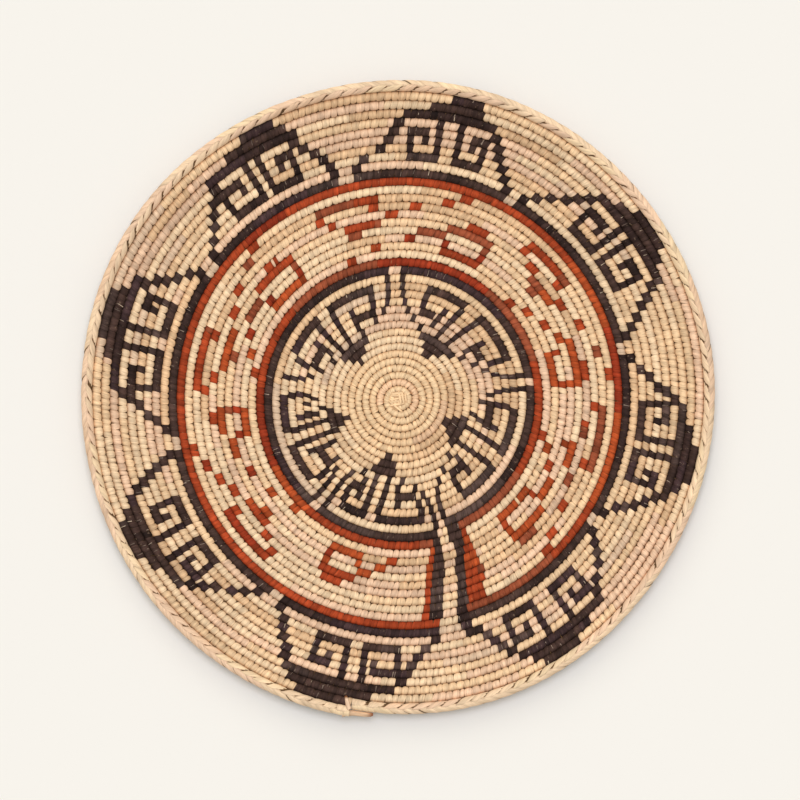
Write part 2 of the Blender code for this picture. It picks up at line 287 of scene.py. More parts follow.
NATURAL_SPLINT = SplintFinish(
    "natural_splint", "natural_wrap", palette=(CREAM, STRAW, TAN, BLUSH, ASH), shares=(27, 36, 15, 17, 5)
)
CENTRE_SPLINT = SplintFinish(
    "centre_splint",
    "natural_wrap",
    palette=((0.96, 0.680, 0.400), (0.96, 0.660, 0.380), (0.92, 0.600, 0.365)),
    shares=(50, 30, 20),
    splint_spread=0.05,
    stitch_spread=0.04,
)
WARM_SPLINT = SplintFinish(
    "band_ground_splint",
    "natural_wrap",
    palette=(CREAM, (0.95, 0.655, 0.385), TAN, BLUSH),
    shares=(30, 34, 12, 24),
)
DARK_SPLINT = SplintFinish(
    "dark_splint",
    "dark_wrap",
    palette=((0.063, 0.034, 0.026), (0.040, 0.021, 0.017), (0.086, 0.052, 0.042), (0.058, 0.031, 0.030)),
    shares=(42, 30, 16, 12),
    stitch_spread=0.20,
    streak=0.40,
    painted_shade_tint=(0.14, 0.09, 0.07),
    fleck=(0.26, 0.17, 0.11),
    fleck_start=0.66,
    gloss=0.08,
    longest_splint=15,
)
RUST_SPLINT = SplintFinish(
    "rust_splint",
    "rust_wrap",
    palette=((0.42, 0.062, 0.018), (0.48, 0.083, 0.021), (0.34, 0.042, 0.014), (0.33, 0.080, 0.034)),
    shares=(44, 20, 24, 12),
    stitch_spread=0.13,
    streak=0.28,
    painted_shade_tint=(0.20, 0.07, 0.045),
    fleck=(0.58, 0.27, 0.12),
    gloss=0.07,
    longest_splint=16,
)
BRAID_SPLINT = SplintFinish(
    "braid_splint",
    "braid",
    palette=((0.92, 0.670, 0.435), (0.90, 0.620, 0.415), (0.93, 0.690, 0.430), (0.84, 0.570, 0.370)),
    shares=(38, 26, 22, 14),
    splint_spread=0.04,
    stitch_spread=0.04,
    streak=0.17,
    painted_shade_tint=(0.22, 0.115, 0.055),
    shortest_splint=2,
    longest_splint=6,
)
PEACH_SPLINT = SplintFinish(
    "peach_splint", "braid", palette=((0.86, 0.56, 0.34),), shares=(1,), painted_shade_tint=(0.36, 0.15, 0.07)
)
SLIVER_SPLINT = SplintFinish(
    "sliver_splint",
    "natural_wrap",
    palette=((0.30, 0.22, 0.165), (0.17, 0.12, 0.09), (0.56, 0.43, 0.30)),
    shares=(45, 40, 15),
    shortest_splint=1,
    longest_splint=2,
)
BUNDLE_GRASS = BundleFinish()

DYED = {Dye.DARK: DARK_SPLINT, Dye.RUST: RUST_SPLINT}


def held(values: Values) -> Values:
    """Values held between 0 and 1."""
    return np.clip(values, 0.0, 1.0)


def by_strip(values: np.ndarray) -> np.ndarray:
    """One value a strip, laid out to meet stations and columns."""
    return values[:, None, None]


def along_strip(stations: int) -> np.ndarray:
    """How far along a strip each station lies, from 0 to 1."""
    return np.linspace(0.0, 1.0, stations)[None, :, None]


def by_column(values: np.ndarray | tuple[float, ...]) -> np.ndarray:
    """One value a column, laid out to meet strips and stations."""
    return np.array(values)[None, None, :]


def round_section(sides: int) -> np.ndarray:
    """The angle of each column round a closed section, in radians."""
    return by_column(np.arange(sides) / sides * 2.0 * math.pi)


def points_at(x: Values, y: Values, z: Values) -> np.ndarray:
    """Points from their coordinates, with one more axis for x, y and z."""
    return np.stack(np.broadcast_arrays(x, y, z), axis=-1)


def turned(along: Values, sideways: Values, heading: Values) -> tuple[Values, Values]:
    """x and y of a place that lies along and beside a heading, in radians from +X."""
    cos, sin = np.cos(heading), np.sin(heading)
    return along * cos - sideways * sin, along * sin + sideways * cos


def set_out(name: str, data: Any) -> bpy.types.Object:
    """Put a mesh, lamp or camera into the scene as a new object.

    Args:
        name: The object's name.
        data: The mesh, lamp or camera.

    Returns:
        The object.
    """
    thing = bpy.data.objects.new(name, data)
    bpy.context.scene.collection.objects.link(thing)
    return thing


@dataclass(frozen=True)
class CoilSpiral:
    """The path of the bundle: rows that widen outwards, a low wall, and the stray of a hand-made outline.

    lobes gives how many lobes of each kind the outline has, how far they stray and a crest's clock angle.
    """

    plain_rows: int = 38
    start_radius: float = 0.0024
    first_pitch: float = 0.00417
    last_pitch: float = 0.00476
    coil_gap: float = 0.0006
    foot_share: float = 0.1
    end_clock: float = 189.0
    wall_start: float = 0.122
    wall_bend: float = 0.030
    wall_slope: float = 0.28
    lobes: tuple[tuple[int, float, float], ...] = (
        (1, 0.0010, 8.0),
        (2, 0.0007, 171.0),
        (3, 0.0006, 55.0),
        (5, 0.0004, 16.0),
    )
    drift: float = 0.0017
    drift_clock: float = 138.0
    drift_start: float = 0.023
    drawn_in: float = 0.0012
    drawn_in_end: float = 0.085

    @property
    def end_turn(self) -> float:
        """The turn at which the rim ends."""
        return self.plain_rows + 1.0

    @property
    def end_edge(self) -> float:
        """The radius of the inner edge where the rim ends."""
        return self.inner_edge(self.end_turn)

    def pitch(self, turn: Values) -> Values:
        """The width of one row."""
        return self.first_pitch + (self.last_pitch - self.first_pitch) * turn / self.plain_rows

    def inner_edge(self, turn: Values) -> Values:
        """The radius of a row's side that faces the middle."""
        growth = (self.last_pitch - self.first_pitch) / (2.0 * self.plain_rows)
        return self.start_radius + self.first_pitch * turn + growth * turn**2

    def clock(self, turn: Values) -> Values:
        """The clock angle of a place on the coil."""
        return self.end_clock + 360.0 * (self.end_turn - turn)

    def rise(self, radius: Values) -> Values:
        """How far the plate stands off the table.

        Args:
            radius: The place's radius.

        Returns:
            The height, which is 0 inside the wall, grows in the bend and then grows evenly.
        """
        out = np.maximum(radius - self.wall_start, 0.0)
        bend = self.wall_slope * out**2 / (2.0 * self.wall_bend)
        return np.where(out < self.wall_bend, bend, self.wall_slope * (out - self.wall_bend / 2.0))

    def slope(self, radius: Values) -> Values:
        """The wall's angle at a radius, in radians."""
        return np.arctan(self.wall_slope * held((radius - self.wall_start) / self.wall_bend))

    def bundle_radius(self, turn: Values) -> Values:
        """The radius of the wrapped bundle."""
        return (self.pitch(turn) - self.coil_gap) / 2.0

    def bundle_height(self, turn: Values) -> Values:
        """The height of the bundle's axis over its own foot."""
        return self.bundle_radius(turn) * (1.0 - 2.0 * self.foot_share)

    def turn_length(self, turn: Values) -> Values:
        """The length of the bundle in one turn."""
        return 2.0 * math.pi * (self.inner_edge(turn) + self.pitch(turn) / 2.0)

    def row_drift(self, radius: Values, clock: Values) -> Values:
        """How far a row between the middle and the rim lies outwards of a true spiral's.

        Args:
            radius: The row's radius.
            clock: The clock angle in degrees.

        Returns:
            The distance, which is less than 0 where the rows are drawn in.
        """
        share = held((radius - self.drift_start) / (self.end_edge - self.drift_start))
        inwards = self.drawn_in * np.sin(math.pi * np.minimum(radius / self.drawn_in_end, 1.0))
        return self.drift * np.sin(math.pi * share) * np.cos(np.radians(clock - self.drift_clock)) - inwards

    def place(self, radius: Values, clock: Values, height: Values) -> np.ndarray:
        """Points of the plate with its stray from a true spiral.

        Args:
            radius: Radii before the outline's stray.
            clock: Clock angles in degrees.
            height: Heights over the table.

        Returns:
            The points.
        """
        share = (radius / self.end_edge) ** 2
        stray = sum(size * np.cos(np.radians(count * (clock - crest))) for count, size, crest in self.lobes)
        strayed = radius + share * stray + self.row_drift(radius, clock)
        angle = np.radians(clock)
        return points_at(strayed * np.sin(angle), strayed * np.cos(angle), height)

    def around(self, turn: Values, out: Values, up: Values) -> np.ndarray:
        """Points round the bundle's axis, in the plane that stands across it.

        Args:
            turn: The places on the coil.
            out: How far outwards from the axis, along the wall.
            up: How far off the axis, square to the wall.

        Returns:
            The points.
        """
        radius = self.inner_edge(turn) + self.pitch(turn) / 2.0
        height = self.bundle_height(turn) + self.rise(radius)
        sideways, upwards = turned(out, up, self.slope(radius))
        return self.place(radius + sideways, self.clock(turn), np.maximum(height + upwards, 0.0))


@dataclass
class SplintStrips:
    """Many strips of splint of one pattern, which make one mesh: each strip is a closed body of its own.

    points holds strip, station along the splint, column across it, and x, y and z. One flat underside joins
    a strip's two edges. A looped strip's last station joins its first, and any other strip has an end face at
    each. along, across and painted_shade hold a value for each point, or fewer that fit the points' shape;
    painted_shade is how far the point's colour is darkened by painted shade.
    """

    points: np.ndarray
    colours: np.ndarray
    along: Values
    across: Values
    painted_shade: Values = 0.0
    offsets: Values = 0.0
    looped: bool = False
    fold_angle: float = 48.0
    cell_margin: float = 0.04

    def piece(self, name: str, finish: SplintFinish | BundleFinish, *nodes: str) -> bpy.types.Object:
        """Make the mesh, dress it and put it on the plate.

        Args:
            name: The piece's name.
            finish: The finish that it takes.
            *nodes: The solids that it stands for.

        Returns:
            The new object.
        """
        mesh = self.mesh(name)
        mesh.materials.append(shared_material(finish))
        piece = set_out(name, mesh)
        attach(piece, BODY)
        if nodes:
            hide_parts(*nodes)
        return piece

    def mesh(self, name: str) -> bpy.types.Mesh:
        """Join all strips in one mesh. Each has its own cell in the bake map, so a bake holds every stitch.

        Args:
            name: The mesh's name.

        Returns:
            The mesh, smooth apart from its folds.
        """
        strips, stations, columns = self.points.shape[:3]
        cells = math.ceil(math.sqrt(strips))
        number = by_strip(np.arange(strips))
        cell = np.stack((number % cells, number // cells), axis=-1)
        room = 1.0 - 2.0 * self.cell_margin
        corners, sizes, spots = [], [], []
        for faces, places in self.pattern(stations, columns):
            corners.append((faces + number * (stations * columns)).ravel())
            sizes.append(np.full(strips * len(faces), faces.shape[1]))
            spots.append(((cell + self.cell_margin + places * room) / cells).ravel())
        size = np.concatenate(sizes)

        mesh = bpy.data.meshes.new(name)
        mesh.vertices.add(strips * stations * columns)
        mesh.vertices.foreach_set("co", self.points.astype(np.float32).ravel())
        mesh.loops.add(int(size.sum()))
        mesh.loops.foreach_set("vertex_index", np.concatenate(corners).astype(np.int32))
        mesh.polygons.add(len(size))
        mesh.polygons.foreach_set("loop_start", (np.cumsum(size) - size).astype(np.int32))
        mesh.update(calc_edges=True)
        self.lay_attributes(mesh)
        mesh.uv_layers.new(name="OFBake").data.foreach_set("uv", np.concatenate(spots).astype(np.float32))
        mesh.shade_smooth()
        mesh.set_sharp_from_angle(angle=math.radians(self.fold_angle))
        return mesh

    def pattern(self, stations: int, columns: int) -> list[tuple[np.ndarray, np.ndarray]]:
        """The faces of one strip, and where each of their corners lies in the strip's cell of the bake map.

        Args:
            stations: How many stations it has.
            columns: How many columns it has.

        Returns:
            The four-sided faces with their places, and the two end faces with theirs unless it is looped.
        """
        rows = stations if self.looped else stations - 1
        row, column = (numbers.reshape(-1, 1) for numbers in np.indices((rows, columns)))
        row, column = row + np.array((0, 1, 1, 0)), column + np.array((0, 0, 1, 1))
        quads = row % stations * columns + column % columns
        sets = [(quads, np.stack((column / columns, row / stations), axis=-1))]
        if not self.looped:
            edge = np.arange(columns)
            turn = edge / columns * 2.0 * math.pi
            high = (rows + 0.5 + 0.4 * np.sin(turn)) / stations
            oval = np.stack((0.25 + 0.2 * np.cos(turn), high), axis=-1)
            ends = np.stack((edge, rows * columns + edge[::-1]))
            sets.append((ends, np.stack((oval, oval + (0.5, 0.0)))))
        if self.turned_in(quads):
            sets = [(faces[:, ::-1], places[:, ::-1]) for faces, places in sets]
        return sets

    def turned_in(self, quads: np.ndarray) -> bool:
        """Whether a strip's faces look inwards, from the sign of its volume.

        Args:
            quads: The four-sided faces of one strip.

        Returns:
            True where they do.
        """
        points = self.points[0].reshape(-1, 3)
        a, b, c, d = (points[quads[:, corner]] - points.mean(axis=0) for corner in range(4))
        return bool((a * np.cross(b, c)).sum() + (a * np.cross(c, d)).sum() < 0.0)

    def lay_attributes(self, mesh: bpy.types.Mesh) -> None:
        """Write each point's splint colour, place in the grain and share of painted shade.

        Args:
            mesh: The mesh of the strips.
        """
        grain = (self.across / MILLIMETRE, self.along / MILLIMETRE, np.reshape(self.offsets, (-1, 1, 1)))
        for name, kind, key, values in (
            ("splint_colour", "FLOAT_COLOR", "color", (*self.colours.T[..., None, None], 1.0)),
            ("fibre", "FLOAT_VECTOR", "vector", grain),
            ("painted_shade", "FLOAT", "value", (self.painted_shade,)),
        ):
            laid = np.stack([np.broadcast_to(value, self.points.shape[:3]) for value in values], axis=-1)
            mesh.attributes.new(name, kind, "POINT").data.foreach_set(key, laid.astype(np.float32).ravel())


@dataclass
class HandWork:
    """Work along the coil's spiral, by a hand that is never quite even."""

    spiral: CoilSpiral
    rng: np.random.Generator

    def uneven(self, spread: float, count: int) -> np.ndarray:
        """A factor near 1 for each of some strips."""
        return 1.0 + spread * self.rng.normal(size=(count, 1, 1))

    def grain_starts(self, count: int) -> np.ndarray:
        """Which slice of the grain's noise each of some strips takes, so that no two look alike."""
        return self.rng.uniform(0.0, GRAIN_RANGE, count)


@dataclass(frozen=True)
class Stroke:
    """One run of a dye on one row, between two clock angles."""

    row: int
    first: float
    last: float
    dye: Dye = Dye.DARK


def centred(row: int, middle: float, width: float, dye: Dye = Dye.DARK) -> Stroke:
    """A stroke from its middle and its width in degrees."""
    return Stroke(row, middle - width / 2.0, middle + width / 2.0, dye)


@dataclass(frozen=True)
class Cloud:
    """A terraced cloud that stands on the outer rings, with two key spirals in it.

    caps are its top from row 1, low_side and high_side its two sides from row 4 and foot its foot in row 10.
    keys gives the clock angles of the two spirals' six upright lines.
    """

    foot: Span
    caps: tuple[Span, ...]
    keys: tuple[float, ...]
    low_side: tuple[float, ...]
    high_side: tuple[float, ...]
    key_width: float = 1.5
    key_overlap: float = 0.7
    side_width: float = 2.3

    def strokes(self) -> Iterator[Stroke]:
        """Draw the cloud.

        Yields:
            Its dark strokes: cap, sides, foot and keys.
        """
        for row, cap in enumerate(self.caps, start=1):
            yield Stroke(row, *cap)
        for side in (self.low_side, self.high_side):
            for row, middle in enumerate(side, start=4):
                yield centred(row, middle, self.side_width)
        yield Stroke(10, *self.foot)
        yield from self.key_strokes()

    def key_strokes(self) -> Iterator[Stroke]:
        """Draw the two squared spirals inside the cloud.

        Yields:
            Their uprights and then their bars.
        """
        far_left, left, peg, other_peg, right, far_right = self.keys
        pegs = (peg, other_peg)
        for row, places in ((4, pegs), (5, pegs), (6, self.keys), (7, (far_left, *pegs, far_right))):
            for place in places:
                yield centred(row, place, self.key_width)
        bars = ((5, far_left, left), (5, right, far_right), (8, far_left, peg), (8, other_peg, far_right))
        for row, first, last in bars:
            yield Stroke(row, first - self.key_overlap, last + self.key_overlap)


@dataclass(frozen=True)
class BandFigure:
    """A stepped figure of the band, in rust: a table on a stair, and a box that stands on its legs.

    rise and fall give the middles of the short strokes that step up from the table and down from the box.
    The table's two legs, the box's leg and the box's base follow from their spans.
    """

    box: Span
    bump: Span
    foot: Span
    tick: Span
    fall: tuple[float, ...]
    table: Span | None = None
    left: Span | None = None
    seat: Span | None = None
    peg: Span | None = None
    rise: tuple[float, ...] = ()
    leg_width: float = 2.4
    rise_widths: tuple[float, ...] = (4.0, 3.4, 3.4, 3.4)
    fall_width: float = 3.8

    def strokes(self) -> Iterator[Stroke]:
        """Draw the figure.

        Yields:
            Its rust strokes.
        """
        end = self.box[1]
        leg = (end - self.leg_width, end)
        spans = [(13, self.table), (15, self.left), (16, self.seat), (17, self.peg), (16, self.box)]
        spans += [(15, self.bump), (17, self.foot), (17, leg), (18, leg), (18, self.tick)]
        spans.append((19, (self.tick[0], end - 0.6)))
        if self.table is not None:
            first, last = self.table
            spans += [(14, (first - 1.0, first + 1.7)), (14, (last - 3.2, last - 0.2))]
        for row, span in spans:
            if span is not None:
                yield Stroke(row, *span, Dye.RUST)
        for row, place, width in zip((15, 14, 13, 12), self.rise, self.rise_widths):
            yield centred(row, place, width, Dye.RUST)
        for row, place in zip((18, 19, 20), self.fall):
            yield centred(row, place, self.fall_width, Dye.RUST)


@dataclass(frozen=True)
class StarLine:
    """One slanting side of a star point, which bends in towards its foot in row 29."""

    top: float
    foot: float
    curl: float
    first_row: int = 23
    last_row: int = 29
    top_width: float = 2.5
    widening: float = 1.0

    def strokes(self) -> Iterator[Stroke]:
        """Draw the side.

        Yields:
            One dark stroke a row.
        """
        for row in range(self.first_row, self.last_row + 1):
            share = (row - self.first_row) / (self.last_row - self.first_row)
            place = self.top + (self.foot - self.top) * share**self.curl
            yield centred(row, place, self.top_width + self.widening * share**3)


@dataclass(frozen=True)
class Fret:
    """A key fret inside a star point: a bar, an outer leg with a block, an inner leg and a hook."""

    bar: Span
    outer: Span
    inner: Span
    block: Span
    hook: Span
    width: float = 3.4

    def strokes(self) -> Iterator[Stroke]:
        """Draw the fret.

        Yields:
            Its dark strokes in rows 24 to 29.
        """
        yield Stroke(24, *self.bar)
        yield Stroke(27, *self.block)
        legs = ((25, 26, self.outer), (25, 29, self.inner), (26, 28, self.hook))
        for first_row, last_row, (top, foot) in legs:
            for row in range(first_row, last_row + 1):
                middle = top + (foot - top) * (row - first_row) / (last_row - first_row)
                yield centred(row, middle, self.width)


@dataclass(frozen=True)
class StarPoint:
    """One point of the star: its sides, two frets and the dark tip that closes it."""

    sides: tuple[StarLine, ...]
    frets: tuple[Fret, Fret]
    tips: tuple[Span, ...]

    def strokes(self) -> Iterator[Stroke]:
        """Draw the point.

        Yields:
            Its dark strokes, of which the tip's start in row 30.
        """
        for part in (*self.sides, *self.frets):
            yield from part.strokes()
        for row, tip in enumerate(self.tips, start=30):
            yield Stroke(row, *tip)


@dataclass(frozen=True)
class Pathway:
    """The pale way out through the rings, between two dark bars that shift from row to row.

    low_bars start in row 11 and high_bars in row 12. low_rust and high_rust say how far the rust beside them
    reaches from row 12, and mouths gives the row and span of the pale stretches at the way's two ends.
    """

    low_bars: tuple[Span, ...]
    high_bars: tuple[Span, ...]
    low_rust: tuple[float, ...]
    high_rust: tuple[float, ...]
    mouths: tuple[tuple[int, float, float], ...]

    def strokes(self) -> Iterator[Stroke]:
        """Draw the way.

        Yields:
            The rust beside the bars, the bars, and last the pale stretches of the way.
        """
        between = list(zip(self.low_bars[1:], self.high_bars))
        beside = zip(between, self.low_rust, self.high_rust)
        for row, ((low, high), low_end, high_end) in enumerate(beside, start=12):
            yield Stroke(row, low_end, low[0], Dye.RUST)
            yield Stroke(row, high[1], high_end, Dye.RUST)
        for first_row, bars in ((11, self.low_bars), (12, self.high_bars)):
            for row, bar in enumerate(bars, start=first_row):
                yield Stroke(row, *bar)
        for row, (low, high) in enumerate(between, start=12):
            yield Stroke(row, low[1], high[0], Dye.NATURAL)
        for mouth in self.mouths:
            yield Stroke(*mouth, Dye.NATURAL)


CLOUDS = (
    Cloud(
        foot=(348.4, 387.7), caps=((370, 376.1), (366.1, 376.6), (360.8, 379.7)),
        keys=(362.4, 365.7, 368.5, 373, 376.2, 378.7), low_side=(359.9, 358.8, 357.6, 355.7, 351.6, 349.5),
        high_side=(380.3, 381.6, 382.4, 384, 385.4, 387),
    ),
    Cloud(
        foot=(30.4, 75.5), caps=((51.5, 60), (48, 62.3), (44.2, 66)),
        keys=(45.2, 49.6, 52.3, 55.3, 59, 62.8), low_side=(43.5, 41.7, 39.9, 36.9, 34.3, 31.8),
        high_side=(65.7, 67.5, 68.7, 70.8, 72.5, 74.2),
    ),
    Cloud(
        foot=(78.5, 120.3), caps=((98.8, 106.3), (95, 108.7), (90.7, 111)),
        keys=(90.9, 94.7, 99, 102.2, 106.4, 108.8), low_side=(90, 88.2, 87.2, 84.7, 82.8, 79.8),
        high_side=(110.8, 112.5, 114.1, 115.4, 116.4, 118.9),
    ),
    Cloud(
        foot=(123.2, 165), caps=((143, 151), (139, 152.7), (134, 155)),
        keys=(134.7, 138.3, 141.4, 147.2, 150.6, 154.2), low_side=(134, 132.2, 129.4, 127.6, 126.1, 124.2),
        high_side=(155.8, 157.2, 158.3, 159.4, 161, 163),
    ),
    Cloud(
        foot=(170, 210.7), caps=((190, 200), (185.5, 202.3), (181, 204)),
        keys=(180.4, 185.6, 187.8, 191.9, 195.5, 198.8), low_side=(179.7, 178.5, 177.4, 175.9, 174, 171.4),
        high_side=(204.2, 204.6, 206.2, 207.2, 207.9, 209.9),
    ),
    Cloud(
        foot=(213.8, 257.3), caps=((238.5, 246.4), (235, 248.3), (229.4, 250.6)),
        keys=(228.9, 232.7, 235.4, 240, 243.4, 246.2), low_side=(228.4, 226.5, 224.6, 221.3, 219, 216.5),
        high_side=(251.1, 252.2, 253.4, 254.5, 255.5, 256.6),
    ),
    Cloud(
        foot=(260.7, 302.9), caps=((281.8, 291.3), (278.2, 292.4), (272, 295.5)),
        keys=(272.7, 276.8, 281.2, 285.3, 290.1, 292.5),
        low_side=(271.5, 270.4, 268.9, 266.5, 265.1, 262.8),
        high_side=(294.5, 296.2, 297.1, 298.7, 301, 302.5),
    ),
    Cloud(
        foot=(306.6, 344.4), caps=((328.4, 335.4), (324, 337.3), (318, 339)),
        keys=(318.8, 323.4, 326.5, 329.4, 333.1, 336), low_side=(318.7, 316.7, 314.9, 313.1, 310.6, 308),
        high_side=(337.6, 339, 341, 342.4, 343.5, 343.9),
    ),
)

FIGURES = (
    BandFigure(
        box=(375.5, 391.1), bump=(381.5, 388.3), foot=(365.9, 375.9), tick=(375.2, 377.6),
        fall=(363.7, 351.2, 341), table=(335.5, 354), left=(337.5, 340), seat=(342, 354.1),
        peg=(342.5, 347.3), rise=(357.6, 364.8, 374, 378.6),
    ),
    BandFigure(
        box=(70, 85.8), bump=(77.8, 84), foot=(66.9, 70.7), tick=(72.2, 74.2), fall=(62.7, 55.5, 48.8),
        table=(39.8, 55.8), left=(43.1, 47.3), seat=(46.5, 58), peg=(48.8, 52.6),
        rise=(59.5, 67.3, 76.2, 83),
    ),
    BandFigure(
        box=(126.8, 141), bump=(133.3, 139.9), foot=(117.3, 125.3), tick=(124.4, 126.4),
        fall=(113.8, 108, 104), table=(91.6, 110.8), left=(96.4, 101.8), seat=(103.4, 112),
        peg=(103.7, 106), rise=(115.2, 123, 131.2, 135.4),
    ),
    BandFigure(
        box=(194.2, 206), bump=(197.8, 204.3), foot=(189.3, 194), tick=(193.2, 195.2), fall=(186.6, 182.8),
    ),
    BandFigure(
        box=(258.9, 267.8), bump=(262.5, 266.3), foot=(250.2, 257.2), tick=(256.6, 259.2),
        fall=(244.4, 234.3, 224), table=(219.9, 237.7), left=(222.9, 226.2), seat=(226.7, 236.9),
        peg=(228, 232), rise=(241.4, 246.2, 251.2, 256.3),
    ),
    BandFigure(
        box=(307.2, 323.2), bump=(314, 319), foot=(297.3, 306.1), tick=(306, 309.4),
        fall=(293.9, 287.3, 280.8), table=(272.6, 291), left=(275.3, 278.7), seat=(279.3, 293.4),
        peg=(283, 286.5), rise=(298, 304.4, 312, 316.2),
    ),
)

STAR_POINTS = (
    StarPoint(
        sides=(StarLine(1.5, 16, 3.1), StarLine(78.6, 56, 2.7)),
        frets=(
            Fret((13.9, 35.6), (14.6, 14.1), (34.7, 31), (12.9, 22.7), (27.2, 24.2)),
            Fret((43.6, 70.3), (68.7, 68.2), (44.8, 40.8), (57.6, 64.4), (55.6, 54)),
        ),
        tips=((17.4, 51.5), (23.2, 43.3), (25.9, 35.7)),
    ),
    StarPoint(
        sides=(StarLine(84.8, 101.2, 5.0), StarLine(159.2, 138.2, 3.4)),
        frets=(
            Fret((94.3, 118.8), (93.6, 93.1), (115.7, 112.3), (90.8, 108.4), (106.6, 104.2)),
            Fret((125, 146.8), (146, 145.8), (125.4, 125.8), (135.7, 146), (135.9, 134.9)),
        ),
        tips=((104.2, 131.8), (106.7, 126), (110.3, 120.6)),
    ),
    StarPoint(
        sides=(StarLine(163.8, 178, 4.5), StarLine(215.2, 206.3, 8.5)),
        frets=(
            Fret((168.2, 191.6), (168.9, 169.5), (190.8, 187.6), (170.3, 182.2), (181, 181)),
            Fret((196.2, 209.8), (209.4, 209.9), (197.7, 196.6), (203.2, 210.4), (203.2, 203.3)),
        ),
        tips=((182.8, 202.3), (183, 198.1), (187.3, 194.5)),
    ),
    StarPoint(
        sides=(StarLine(220.9, 238, 5.5),),
        frets=(
            Fret((228, 247.4), (226.1, 226), (246.4, 245.5), (226.1, 240.4), (239.9, 238)),
            Fret((253.6, 272.6), (272.4, 273.2), (253.9, 254.8), (258.8, 263.4), (260, 260.5)),
        ),
        tips=((242.4, 263.3), (245.7, 258.1), (249, 253.7)),
    ),
    StarPoint(
        sides=(StarLine(281.5, 300.3, 3.3, first_row=24), StarLine(354.3, 331.5, 4.1)),
        frets=(
            Fret((294, 315.2), (291.4, 290.3), (312, 310.6), (290.3, 305), (304.2, 304.3)),
            Fret((321.3, 346.8), (344.8, 344.6), (321.8, 319.3), (329.6, 345), (331.2, 330.4)),
        ),
        tips=((304.8, 333), (308.2, 326.2), (312.4, 317.2)),
    ),
)

PATHWAY = Pathway(
    low_bars=(
        (161.9, 165.1), (160.9, 164.9), (160.7, 164.1), (160, 163.4), (159.3, 162.7), (158.7, 161.7),
        (157.9, 161), (156.7, 159.7), (155.6, 159.5), (155.1, 160.5), (154.9, 159.9),
    ),
    high_bars=(
        (168.5, 172.2), (168.2, 171.7), (167.6, 171.2), (167, 170.8), (166.5, 170), (165.2, 169.5),
        (164.8, 168.7), (164.4, 167.8), (164.1, 166.8), (163.9, 166.8),
    ),
    low_rust=(155.9, 155.7, 154.1, 153.1, 153.5, 153.4, 153.3, 153.1, 153),
    high_rust=(174.2, 173.5, 172.7, 172.5, 171.9, 171.5, 171, 169.7, 168.6),
    mouths=((10, 164.8, 170.2), (11, 165.1, 169.8), (22, 160, 164.1)),
)

# Dark stitches beside the fourth star point, whose second side has no line, and two stray pale stitches
STRAYS = (
    Stroke(27, 266.3, 268.8),
    centred(27, 272.8, 2.5),
    centred(28, 270.8, 2.5),
    centred(29, 264.1, 3.0),
    centred(19, 130.6, 1.1, Dye.NATURAL),
    centred(15, 317.4, 0.9, Dye.NATURAL),
)


@dataclass(frozen=True)
class Zone:
    """A stretch of the coil that is one solid of the frame: its name, its last row and its undyed splint."""

    node: str
    last_row: int
    ground: SplintFinish = NATURAL_SPLINT


ZONES = (
    Zone("centre_rows", 33, CENTRE_SPLINT),
    Zone("star_rows", 23),
    Zone("inner_dark_ring", 22),
    Zone("inner_rust_ring", 21, WARM_SPLINT),
    Zone("band_rows", 12, WARM_SPLINT),
    Zone("outer_rust_ring", 11),
    Zone("outer_dark_ring", 10),
    Zone("cloud_rows", 1),
)


